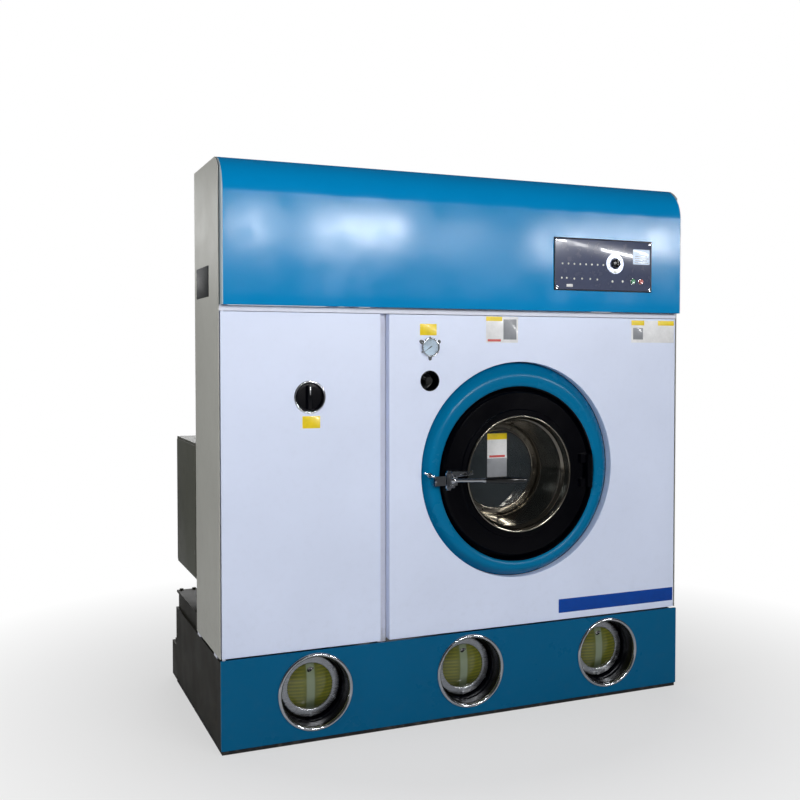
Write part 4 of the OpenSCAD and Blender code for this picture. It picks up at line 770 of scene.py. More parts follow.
class Finishes:
    """Every finish of the machine, named for what it is on."""

    white = Finish("White enamel", (0.865, 0.90, 0.985), roughness=0.36, extra=dusty(0.10))
    frame = Finish("Frame enamel", (0.86, 0.87, 0.92), roughness=0.4, extra=dusty(0.3))
    side = Finish("Side panel enamel", (0.70, 0.70, 0.67), roughness=0.42, extra=dusty(0.3))
    fascia = Finish(
        "Fascia blue enamel", (0.0, 0.53, 0.77), roughness=0.14, extra=dusty(0.0), specular=0.2
    )
    cap = Finish("End cap enamel", (0.68, 0.74, 0.77), roughness=0.35, extra=dusty(0.2))
    surround = Finish(
        "Surround blue enamel", (0.0, 0.43, 0.605), roughness=0.24, extra=dusty(0.0), specular=0.14
    )
    base = Finish(
        "Base blue enamel", (0.0, 0.355, 0.515), roughness=0.3, extra=dusty(0.04), specular=0.15
    )
    tank = Finish(
        "Tank black enamel", (0.115, 0.11, 0.085), roughness=0.5, extra=dusty(0.35), specular=0.25
    )
    plinth = Finish("Plinth black", (0.05, 0.05, 0.055), roughness=0.6, extra=dusty(0.5))
    black = Finish(
        "Black gloss enamel", (0.008, 0.01, 0.03), roughness=0.2, extra=dusty(0.0), specular=0.3
    )
    cast_black = Finish(
        "Black painted casting", (0.004, 0.005, 0.02), roughness=0.2, extra=dusty(0.0),
        specular=0.15
    )
    cast_blue = Finish("Blue painted casting", (0.16, 0.30, 0.52), Texture.CAST, 0.42)
    cast_grey = Finish("Grey painted casting", (0.42, 0.45, 0.47), Texture.CAST, 0.45)
    motor = Finish("Motor blue enamel", (0.13, 0.37, 0.56), Texture.CAST, 0.4)
    grey = Finish("Vessel grey enamel", (0.47, 0.53, 0.57), roughness=0.4, extra=dusty(0.35))
    cable_box = Finish(
        "Electrical box enamel", (0.31, 0.315, 0.28), roughness=0.42, extra=dusty(0.3)
    )
    duct = Finish(
        "Galvanised sheet", (0.68, 0.71, 0.74), Texture.BRUSHED, 0.38, 0.85,
        extra=drawn_out(14.0, 14.0, 14.0)
    )
    chrome = Finish("Chrome", (0.86, 0.87, 0.89), Texture.MOULDED, 0.07, 1.0)
    satin = Finish("Satin steel", (0.74, 0.75, 0.77), Texture.BRUSHED, 0.24, 1.0)
    well = Finish(
        "Polished window well", (0.56, 0.54, 0.50), Texture.TURNED, 0.1, 1.0, extra=DOOR_AXIS
    )
    drum = Finish(
        "Perforated drum steel", (0.78, 0.79, 0.80), Texture.PERFORATED, 0.25, 1.0, extra=DOOR_AXIS
    )
    rolled = Finish(
        "Rolled stainless steel", (0.66, 0.68, 0.69), Texture.TURNED, 0.32, 1.0, extra=DOOR_AXIS
    )
    vessel = Finish(
        "Vessel stainless steel", (0.72, 0.73, 0.74), Texture.BRUSHED, 0.28, 1.0,
        extra=drawn_out(20.0, 20.0, 900.0)
    )
    pulley = Finish(
        "Turned cast iron", (0.36, 0.37, 0.39), Texture.TURNED, 0.38, 0.9, extra=DOOR_AXIS
    )
    wheel = Finish("Cast aluminium", (0.62, 0.63, 0.64), Texture.CAST, 0.4, 0.9)
    copper = Finish(
        "Copper alloy pipe", (0.66, 0.53, 0.34), Texture.BRUSHED, 0.3, 1.0,
        extra=drawn_out(60.0, 60.0, 60.0)
    )
    rubber = Finish("Black rubber", (0.06, 0.06, 0.065), Texture.MOULDED, 0.62)
    grip = Finish("Black phenolic grip", (0.03, 0.03, 0.035), Texture.MOULDED, 0.18, coat=0.5)
    panel_film = Finish("Control panel film", (0.31, 0.335, 0.43), Texture.MOULDED, 0.22, coat=0.6)
    panel_edge = Finish("Control panel frame", (0.05, 0.055, 0.07), Texture.MOULDED, 0.3)
    display = Finish(
        "Display window", (0.80, 0.86, 0.93), Texture.MOULDED, 0.12, coat=0.6, glow=0.35
    )
    lamp = Finish("Indicator lens", (0.86, 0.87, 0.84), Texture.MOULDED, 0.2, coat=0.4, glow=0.12)
    light_ring = Finish(
        "Selector scale ring", (0.72, 0.76, 0.85), Texture.MOULDED, 0.25, 0.4, coat=0.4
    )
    ink = Finish("Scale ink", (0.05, 0.05, 0.07), Texture.MOULDED, 0.4)
    yellow = Finish("Yellow label", (0.97, 0.85, 0.06), Texture.MOULDED, 0.35, coat=0.2)
    paper = Finish("White label", (0.93, 0.93, 0.93), Texture.MOULDED, 0.4, coat=0.2)
    label_grey = Finish("Grey label", (0.55, 0.56, 0.58), Texture.MOULDED, 0.4, coat=0.2)
    label_red = Finish("Red label", (0.80, 0.30, 0.28), Texture.MOULDED, 0.4, coat=0.2)
    plate_blue = Finish("Blank blue plate", (0.0, 0.26, 0.62), Texture.MOULDED, 0.3, specular=0.3)
    plate_dark = Finish("Blank dark plate", (0.20, 0.21, 0.22), Texture.BRUSHED, 0.45, 0.6)
    dial = Finish("Gauge dial", (0.86, 0.91, 0.95), Texture.MOULDED, 0.45)
    lens = Finish("Clear lens", (0.96, 0.98, 1.0), Texture.MOULDED, 0.02, transmission=1.0)
    window = Finish(
        "Door glass", (0.40, 0.44, 0.46), Texture.MOULDED, 0.03, coat=0.5, transmission=0.82
    )
    green = Finish("Start button", (0.16, 0.55, 0.36), Texture.MOULDED, 0.25, coat=0.4)
    red = Finish("Stop button", (0.70, 0.19, 0.16), Texture.MOULDED, 0.25, coat=0.4)


# ---------------------------------------------------------------- pieces


def linked(name: str, data: bpy.types.ID) -> bpy.types.Object:
    """A new object of the scene that holds a mesh, lamp or camera."""
    made = bpy.data.objects.new(name, data)
    bpy.context.scene.collection.objects.link(made)
    return made


def shade(mesh: bpy.types.Mesh, sharp: float) -> None:
    """Shades a mesh smooth across edges under so many degrees."""
    mesh.polygons.foreach_set("use_smooth", np.ones(len(mesh.polygons), bool))
    mesh.set_sharp_from_angle(angle=math.radians(sharp))


def soften(mesh: bpy.types.Mesh, sharp: float) -> None:
    """Merges doubled points, points the faces outwards, and shades smooth across slight edges.

    Args:
        mesh: the mesh.
        sharp: edges over this many degrees stay sharp.
    """
    work = bmesh.new()
    work.from_mesh(mesh)
    bmesh.ops.remove_doubles(work, verts=work.verts, dist=WELD)
    bmesh.ops.dissolve_degenerate(work, edges=work.edges, dist=SPECK)
    bmesh.ops.recalc_face_normals(work, faces=work.faces)
    work.to_mesh(mesh)
    work.free()
    shade(mesh, sharp)
    mesh.update()


class Assembly:
    """A sub-assembly: it makes surfaces into pieces, dresses them and sets them on their bodies."""

    body: Body = Body.CABINET

    def put(
        self,
        name: str,
        sheets: Sheet | Iterable[Sheet],
        finish: Finish,
        slot: str = "",
        replaces: Sequence[str] = (),
        body: Body | None = None,
        sharp: float = 34.0,
    ) -> bpy.types.Object:
        """Makes one piece from surfaces.

        Args:
            name: the piece's name.
            sheets: its surfaces, in cabinet millimetres.
            finish: its finish.
            slot: the record's material slot it would take after; not used.
            replaces: CAD nodes it stands for.
            body: the body it rides on, if not the assembly's own.
            sharp: edges over this many degrees stay sharp.

        Returns:
            The piece.
        """
        sheets = [sheets] if isinstance(sheets, Sheet) else list(sheets)
        points, faces, start = [], [], 0
        for sheet in sheets:
            faces += sheet.faces(start)
            points.append(sheet.points.reshape(-1, 3))
            start += len(points[-1])
        mesh = bpy.data.meshes.new(name)
        mesh.from_pydata(placed(np.concatenate(points)).tolist(), [], faces)
        soften(mesh, sharp)
        return self.finished(name, mesh, finish, replaces, body or self.body)

    def finished(
        self,
        name: str,
        mesh: bpy.types.Mesh,
        finish: Finish,
        replaces: Sequence[str],
        body: Body,
    ) -> bpy.types.Object:
        """Links a mesh as a piece, with its finish and body."""
        piece = linked(name, mesh)
        mesh.materials.clear()
        mesh.materials.append(finish.material())
        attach(piece, body.value)
        if replaces:
            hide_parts(*replaces)
        LOG.info("piece %s: %d faces", name, len(mesh.polygons))
        return piece

    def dressed(
        self,
        node: str,
        finish: Finish,
        body: Body | None = None,
        bevel: float = 0.0,
        sharp: float = 32.0,
    ) -> bpy.types.Object:
        """A CAD node's merged copy, shaded smooth and with its edges broken, in place of the node.

        Args:
            node: the CAD node.
            finish: its finish.
            body: the node's body, if not the assembly's own.
            bevel: width of the broken edges, or 0 for none.
            sharp: edges over this many degrees count as edges.

        Returns:
            The piece.
        """
        mesh = bpy.data.objects[node].data.copy()
        mesh.name = node + "_skin"
        for name in [a.name for a in mesh.attributes if a.name == "custom_normal"]:
            mesh.attributes.remove(mesh.attributes[name])
        work = bmesh.new()
        work.from_mesh(mesh)
        bmesh.ops.remove_doubles(work, verts=work.verts, dist=WELD)
        if bevel:
            bmesh.ops.dissolve_limit(
                work, angle_limit=math.radians(FLAT), verts=work.verts, edges=work.edges
            )
        work.to_mesh(mesh)
        work.free()
        shade(mesh, sharp)
        piece = self.finished(node + "_skin", mesh, finish, [node], body or self.body)
        if bevel:
            rounded = piece.modifiers.new("Broken edges", "BEVEL")
            rounded.width = bevel / MM
            rounded.segments = 2
            rounded.limit_method = "ANGLE"
            rounded.angle_limit = math.radians(sharp)
            rounded.use_clamp_overlap = True
            rounded.harden_normals = False
        return piece

    def repaint(
        self, piece: bpy.types.Object, finish: Finish, chosen: Callable[[Array], Array]
    ) -> bpy.types.Object:
        """Gives some faces of a piece another finish.

        Args:
            piece: the piece.
            finish: the other finish.
            chosen: says which faces take it, from their middles in cabinet millimetres.

        Returns:
            The piece.
        """
        mesh = piece.data
        mesh.materials.append(finish.material())
        middles = np.empty(len(mesh.polygons) * 3)
        mesh.polygons.foreach_get("center", middles)
        middles = middles.reshape(-1, 3) * MM + ORIGIN
        mesh.polygons.foreach_set("material_index", chosen(middles).astype(np.int32))
        return piece


@dataclass
class Label(Assembly):
    """A blank stuck label: a plain backing with bands of colour over it.

    Args:
        name: the piece's name.
        x0: its left edge.
        x1: its right edge.
        z0: its lower edge.
        z1: its upper edge.
        finish: the backing's finish.
        bands: left, right, bottom and top of each band as shares of the label, and its finish.
        face: Y of the surface that it is stuck on.
        body: the body it rides on.
    """

    name: str
    x0: float
    x1: float
    z0: float
    z1: float
    finish: Finish
    bands: tuple[tuple[float, float, float, float, Finish], ...] = ()
    face: float = 0.0
    body: Body = Body.CABINET

    def build(self) -> None:
        """The backing is 0.3 thick, and each band stands 0.12 over it."""
        outline = rounded_rectangle(self.x0, self.x1, self.z0, self.z1, 2.0, 3)
        self.put(self.name, plate(outline, self.face - 0.4, self.face - 0.1, 0.1), self.finish)
        w, h = self.x1 - self.x0, self.z1 - self.z0
        for i, (left, right, low, high, finish) in enumerate(self.bands):
            edges = (self.x0 + left * w, self.x0 + right * w, self.z0 + low * h, self.z0 + high * h)
            band = plate(
                rounded_rectangle(*edges, 1.2, 3), self.face - 0.52, self.face - 0.38, 0.05
            )
            self.put(f"{self.name}_band_{i}", band, finish)


@dataclass
class Cabinet(Assembly):
    """Frame, sheet metal and the labels on it.

    Args:
        fold: radius of the folded edges of the panels.
    """

    fold: float = 0.9

    def build(self) -> None:
        """Dresses the sheet metal and sticks the labels on."""
        f = Finishes
        self.dressed("cabinet_frame", f.frame, bevel=0.8)
        self.dressed("front_panel", f.white, bevel=self.fold)
        for node in ("left_side_panel", "right_side_panel", "top_cover"):
            self.dressed(node, f.side, bevel=0.6)
        self.put("side_plate", self.side_plate(), f.plate_dark)
        for label in self.labels():
            label.build()

    def labels(self) -> tuple[Label, ...]:
        """The blank labels on the front: yellow heads over white, with plain bands."""
        f = Finishes
        two_heads = (
            (0.0, 0.30, 0.78, 1.0, f.yellow),
            (0.62, 1.0, 0.78, 1.0, f.yellow),
            (0.04, 0.27, 0.14, 0.66, f.label_grey),
        )
        header = (
            (0.0, 0.5, 0.83, 1.0, f.yellow), (0.54, 0.95, 0.12, 0.9, f.label_grey),
            (0.05, 0.46, 0.04, 0.13, f.label_red)
        )
        return (
            Label("gauge_label", 672, 733, 1305, 1343, f.yellow),
            Label("centre_label", 918, 1042, 1282, 1371, f.paper, header),
            Label("right_label", 1512, 1701, 1285, 1366, f.paper, two_heads),
            Label("blank_nameplate", 1210, 1703, 322, 371, f.plate_blue),
        )

    def side_plate(self) -> list[Sheet]:
        """A blank dark plate on the left side panel, with four rivets."""
        flat = plate(rounded_rectangle(139, 329, 1425, 1524, 3.0), -1.2, -0.1, 0.3)
        spots = [(146, 1432), (322, 1432), (146, 1517), (322, 1517)]
        rivets = [dome((y, -1.2, z), 2.6, 0.8) for y, z in spots]
        return [sheet.facing_left() for sheet in (flat, *rivets)]


def dome(centre: Sequence[float], radius: float, height: float) -> Sheet:
    """A low dome facing -Y: at share t of the radius it stands height (1 - t^2) tall."""
    t = np.array([1.0, 1.0, 0.92, 0.75, 0.5, 0.25, 0.0])
    profile = np.stack([t * radius, -height * (1 - t**2)], 1)
    profile[0] = (radius, 0.4)
    return replace(lathe(profile, centre, sides=Sides.SCREW, closed=False), cap_first=True)


@dataclass
class Fascia(Assembly):
    """The blue fascia with its curved top and grey ends.

    Args:
        low: Z of its lower edge.
        proud: how far it stands in front of the panels.
        curve: radius of its curved top.
        top: Y where the curve meets the top cover.
        wall: thickness of its sheet.
        inset: distance from the sides of the cabinet to its ends.
    """

    low: float = 1393.0
    proud: float = 29.0
    curve: float = 121.0
    top: float = 42.0
    wall: float = 2.5
    inset: float = 9.0

    def build(self) -> None:
        """Carries the section along the machine, and dresses the two end caps."""
        stations = np.linspace(self.inset, WIDTH - self.inset, 25)
        sheet = carried(self.section(), stations, Axis.X)
        self.put("fascia_skin", sheet, Finishes.fascia, "top_fascia", ["top_fascia"], sharp=40.0)
        self.dressed("fascia_end_caps", Finishes.cap, bevel=0.8)

    def section(self) -> Array:
        """The sheet in Y and Z: a lip, a fold, the flat face, an arc, then their inner sides."""
        middle = (
            self.curve - self.proud,
            HEIGHT - math.sqrt(self.curve**2 - (self.curve - self.proud - self.top) ** 2)
        )
        end = math.asin((middle[0] - self.top) / self.curve)
        a = np.linspace(math.pi / 2, end, 30)
        outer = np.stack(
            [middle[0] - self.curve * np.sin(a), middle[1] + self.curve * np.cos(a)], 1
        )
        r = self.curve - self.wall
        inner = np.stack([middle[0] - r * np.sin(a), middle[1] + r * np.cos(a)], 1)[::-1]
        fold = filleted(
            [[-self.proud + 12, self.low], [-self.proud, self.low], [-self.proud, self.low + 40]],
            4.0, 5, False
        )
        back = np.array(
            [
                [-self.proud + self.wall, self.low + self.wall],
                [-self.proud + 12, self.low + self.wall]
            ]
        )
        return np.concatenate([fold, outer, inner, back])


@dataclass
class ControlPanel(Assembly):
    """The black control panel: its film, scale ring, indicator lamps, display, knob and buttons.

    Args:
        x0: its left edge.
        x1: its right edge.
        z0: its lower edge.
        z1: its upper edge.
        face: Y of its front.
        dial: X and Z of the selector.
    """

    x0: float = 1167.0
    x1: float = 1575.0
    z0: float = 1466.0
    z1: float = 1650.0
    face: float = -33.0
    dial: tuple[float, float] = (1417.0, 1565.0)

    def build(self) -> None:
        """Builds the panel from its frame to its lamps."""
        f = Finishes
        self.dressed("control_panel", f.panel_edge, bevel=0.4)
        film = rounded_rectangle(self.x0 + 4, self.x1 - 4, self.z0 + 4, self.z1 - 4, 4.0)
        self.put("panel_frame", self.ring_plate(), f.panel_edge, "control_panel")
        self.put(
            "panel_film", plate(film, self.face - 0.35, self.face - 0.05, 0.2), f.panel_film,
            "control_panel"
        )
        self.put("panel_screws", self.screws(), f.chrome)
        self.put("selector_scale", self.scale_ring(), f.light_ring)
        self.put("selector_ticks", self.ticks(), f.ink)
        self.put("indicator_lamps", self.lamps(), f.lamp)
        self.put("display_window", self.window(1494, 1566, 1566, 1620, 3.0), f.display)
        self.put("display_lines", self.display_lines(), f.panel_film)
        self.put("blank_tag", self.window(1216, 1242, 1478, 1488, 1.5), f.paper)
        self.put(
            "selector_skin", self.knob(), f.grip, "selector_knob", ["selector_knob"], Body.SELECTOR
        )
        self.put("selector_pointer", self.pointer(), f.paper, "", (), Body.SELECTOR)
        self.button("start_button", 1493.0, f.green, Body.START_BUTTON)
        self.button("stop_button", 1527.0, f.red, Body.STOP_BUTTON)

    def ring_plate(self) -> Sheet:
        """A raised rim round the film: a half-round section carried round the rectangle."""
        t = np.linspace(0.0, 1.0, 9)
        lift = np.sin(np.pi * t) * 1.1
        rings = []
        for share, height in zip(t, lift):
            line = rounded_rectangle(
                self.x0 + share * 4, self.x1 - share * 4,
                self.z0 + share * 4, self.z1 - share * 4, 5.0, 6
            )
            rings.append(
                np.stack([line[:, 0], np.full(len(line), self.face - height), line[:, 1]], -1)
            )
        rings.append(rings[-1] + np.array([0.0, 0.9, 0.0]))
        rings.insert(0, rings[0] + np.array([0.0, 0.9, 0.0]))
        return Sheet(np.stack(rings), wrap_rows=True)

    def screws(self) -> list[Sheet]:
        """Four domed screws on cup washers, one in each corner."""
        made = []
        for x in (self.x0 + 10, self.x1 - 10):
            for z in (self.z0 + 10, self.z1 - 10):
                washer = filleted(
                    [[0.5, -0.4], [6.2, -0.4], [6.2, -1.0], [4.4, -2.0], [0.5, -1.6]], 0.5, 3
                )
                made.append(lathe(washer, (x, self.face, z), sides=Sides.WASHER))
                made.append(dome((x, self.face - 1.4, z), 4.0, 1.7))
        return made

    def scale_ring(self) -> Sheet:
        """A flat ring from radius 19 to 37, with rounded edges."""
        section = filleted(
            [[19, -0.3], [37, -0.3], [37, -1.1], [35, -1.5], [21, -1.5], [19, -1.1]], 0.8, 3
        )
        return lathe(section, (self.dial[0], self.face, self.dial[1]))

    def ticks(self) -> list[Sheet]:
        """Twelve short radial bars on the scale ring, the first at the top."""
        bar = plate(
            rounded_rectangle(
                self.dial[0] - 0.9, self.dial[0] + 0.9, self.dial[1] + 25, self.dial[1] + 33, 0.6, 2
            ),
            self.face - 1.75,
            self.face - 1.45,
            0.1,
        )
        centre = (self.dial[0], self.face, self.dial[1])
        return [bar.turned(Axis.Y, i * 30.0, centre) for i in range(12) if i != 6]

    def lamps(self) -> list[Sheet]:
        """Two rows of small domed lamps, with a wider one under the dial."""
        upper = [(1200 + i * 24.0, 1559.0) for i in range(8)]
        lower = [
            (1197.0, 1509.0), (1217.0, 1509.0), (1248.0, 1507.0), (1280.0, 1508.0),
            (1314.0, 1508.0), (1343.0, 1507.0)
        ]
        right = [(1407.0, 1502.0), (1450.0, 1503.0)]
        made = [dome((x, self.face - 0.3, z), 3.6, 2.0) for x, z in upper + lower]
        made += [dome((x, self.face - 0.3, z), 4.4, 2.2) for x, z in right]
        made.append(
            self.window(
                self.dial[0] - 9, self.dial[0] + 9, self.dial[1] - 33, self.dial[1] - 25, 3.0, 1.8
            )
        )
        return made

    def window(
        self, x0: float, x1: float, z0: float, z1: float, radius: float, lift: float = 0.8
    ) -> Sheet:
        """A small raised plate on the film."""
        return plate(
            rounded_rectangle(x0, x1, z0, z1, radius), self.face - lift, self.face - 0.3, 0.3
        )

    def display_lines(self) -> list[Sheet]:
        """Four plain bars across the lower half of the display."""
        lines = [(1500.0 + (i % 2) * 3, 1560.0 - (i % 2) * 5, 1571.0 + i * 7.5) for i in range(4)]
        return [
            plate(
                rounded_rectangle(a, b, z, z + 2.6, 0.8, 2), self.face - 0.95, self.face - 0.7, 0.1
            )
            for a, b, z in lines
        ]

    def knob(self) -> list[Sheet]:
        """The selector: radius 16 - 0.5 (1 + cos 30a) on its fluted skirt, and a grip bar."""
        a = np.linspace(0.0, 2 * math.pi, 240, endpoint=False)
        rows = np.array(
            [
                [0.0, -0.4], [15.6, -0.4], [16.0, -2.0], [15.6, -12.0], [14.4, -14.4],
                [11.0, -15.6], [0.0, -15.9]
            ]
        )
        flute = np.array([0.0, 0.3, 0.5, 0.5, 0.2, 0.0, 0.0])
        r = rows[:, :1] - flute[:, None] * (1 + np.cos(30 * a))[None]
        p = np.stack([r * np.cos(a), np.broadcast_to(rows[:, 1:], r.shape), r * np.sin(a)], -1)
        centre = np.array([self.dial[0], self.face, self.dial[1]])
        outline = rounded_rectangle(
            self.dial[0] - 2.2, self.dial[0] + 2.2, self.dial[1] - 14, self.dial[1] + 14, 2.0
        )
        bar = plate(outline, self.face - 20.0, self.face - 14.0, 1.0)
        stem = np.array([[0.0, -0.4], [3.9, -0.4], [3.9, 16.0], [0.0, 16.0]])
        shaft = lathe(stem, centre, sides=Sides.SCREW, closed=False)
        return [Sheet(p + centre), bar, shaft]

    def pointer(self) -> Sheet:
        """A white line on the top half of the grip bar."""
        x, z = self.dial
        return plate(
            rounded_rectangle(x - 0.7, x + 0.7, z + 3, z + 12.5, 0.5, 2), self.face - 20.25,
            self.face - 19.95, 0.1
        )

    def button(self, node: str, x: float, finish: Finish, body: Body) -> None:
        """A push button with a dished face, in a chrome bezel ring that stays on the panel."""
        z = self.z0 + 38
        rows = filleted(
            [[0, -6.2], [5.5, -6.6], [8.3, -6.6], [8.45, -5.0], [8.45, 10.0], [0, 10.0]], 0.8, 3,
            False
        )
        skin = lathe(rows, (x, self.face, z), sides=Sides.BUTTON, closed=False)
        self.put(node + "_skin", skin, finish, node, [node], body)
        section = filleted(
            [[9.0, -0.3], [12.0, -0.3], [11.4, -2.2], [9.6, -3.0], [9.0, -2.6]], 0.6, 3
        )
        bezel = lathe(section, (x, self.face, z), sides=Sides.BUTTON)
        self.put(node + "_bezel", bezel, Finishes.chrome)


@dataclass
class SolventBase(Assembly):
    """The blue base plate over the tank, with its three portholes.

    Args:
        portholes: X of each porthole.
        height: Z of their centres.
        bezel: outer radius of the chrome bezel.
        glass: radius of the visible glass.
        wall: Y of the tank's front wall.
        crown: how far the glass bulges.
        seat: from the tank's wall to the front of the glass's rim.
    """

    portholes: tuple[float, ...] = (304.5, 856.5, 1408.5)
    height: float = 162.0
    bezel: float = 126.0
    glass: float = 76.0
    wall: float = 68.0
    crown: float = 14.0
    seat: float = 12.6

    def build(self) -> None:
        """Dresses the base, then builds each porthole from the outside in."""
        f = Finishes
        self.dressed("base_front_plate", f.base, bevel=0.8)
        self.dressed("plinth_frame", f.plinth, bevel=1.0)
        self.dressed("solvent_tank", f.tank, bevel=0.8)
        centres = [(x, 0.0, self.height) for x in self.portholes]
        self.put(
            "bezels", [self.bezel_ring(c) for c in centres], f.chrome, "porthole_bezels",
            ["porthole_bezels"]
        )
        self.put(
            "recess_cups", [self.cup(c) for c in centres], f.black, "porthole_cups",
            ["porthole_cups"]
        )
        rings = [s for c in centres for s in self.clamp(c)]
        self.put("glass_clamps", rings, f.satin, "sight_glass_rings", ["sight_glass_rings"])
        for i, c in enumerate(centres):
            middle = (c[0] - ORIGIN[0]) / MM
            olive = SightGlassFinish(
                f"Sight glass {i}", (
                    0.36, 0.38, 0.16
                ), Texture.MOULDED, 0.12, coat=0.8, middle=middle
            )
            self.put(
                f"sight_glass_{i}", self.dome_glass(c), olive, "sight_glasses", ["sight_glasses"]
            )
            self.put(f"float_mark_{i}", self.mark(c), f.black)

    def bezel_ring(self, centre: Sequence[float]) -> Sheet:
        """A rolled bead, half round in front, with a neck that goes back into the cup."""
        a = np.linspace(0.0, math.pi, 17)
        r = self.bezel - 6.5
        bead = np.stack([r + 6.5 * np.cos(a), -10.0 - 8.0 * np.sin(a)], 1)
        neck = np.array(
            [[r - 5.6, -4.0], [r - 5.2, 7.6], [r - 0.3, 7.6], [r + 0.2, -6.0], [r + 6.3, -9.0]]
        )
        return lathe(np.concatenate([bead, neck]), centre, sides=Sides.RIM)

    def cup(self, centre: Sequence[float]) -> Sheet:
        """The dark cup, with two steps in its wall and a flange on the tank."""
        r = self.bezel - 12.4
        section = [
            [r, -7.5], [r, 65], [r + 7.5, 65], [r + 7.5, 67.8], [r - 7, 67.8], [r - 7, 30],
            [r - 3.2, 26], [r - 3.2, -7.5]
        ]
        return lathe(filleted(section, 1.5, 4), centre)

    def clamp(self, centre: Sequence[float]) -> list[Sheet]:
        """The ring that holds the glass, with a bright rolled edge and six bolts."""
        outer, front = self.glass + 25, self.wall - 18
        section = [
            [self.glass, front + 1.5], [self.glass + 2, front], [outer - 3, front],
            [outer, front + 3], [outer, 67.7], [outer - 12, 67.7], [outer - 12, front + 5],
            [self.glass, front + 5],
        ]
        ring = lathe(filleted(section, 1.2, 4), centre)
        head = bolt((centre[0] + outer - 7, front, centre[2]), 10, 5)
        return [ring, *ring_of(head, 6, centre, first=30.0)]

    def dome_glass(self, centre: Sequence[float]) -> Sheet:
        """The glass: a sphere's cap over the visible radius, then a flat rim under the clamp."""
        t = np.linspace(0.0, 1.0, 22)
        r = self.glass - 1
        ball = (r**2 + self.crown**2) / (2 * self.crown)
        front = self.wall - self.seat
        cap = np.stack([t * r, front - (np.sqrt(ball**2 - (t * r) ** 2) - (ball - self.crown))], 1)
        rim = np.array(
            [
                [r + 12.5, front + 0.1], [r + 13.0, front + 1.0], [r + 13.0, front + 12.0],
                [0.0, front + 12.0]
            ]
        )
        return lathe(np.concatenate([cap, rim]), centre, closed=False)

    def mark(self, centre: Sequence[float]) -> Sheet:
        """A black drop-shaped filler cap near the top of the glass, laid on the dome."""
        a = np.linspace(0.0, 2 * math.pi, 40, endpoint=False)
        x = 11.0 * np.cos(a)
        up = 56.0
        z = 6.5 * np.sin(a) * (1 - 0.35 * np.cos(a)) + up + 0.25 * x
        dome_y = self.wall - self.seat - self.crown * (1 - (x**2 + z**2) / (self.glass - 1) ** 2)
        rings = [np.stack([centre[0] + x * s, dome_y - d, centre[2] + (z - up) * s + up], -1)
                 for s, d in ((1.0, -1.5), (1.0, 0.8), (0.9, 1.3), (0.5, 1.5))]
        return Sheet(np.stack(rings), cap_first=True, cap_last=True)


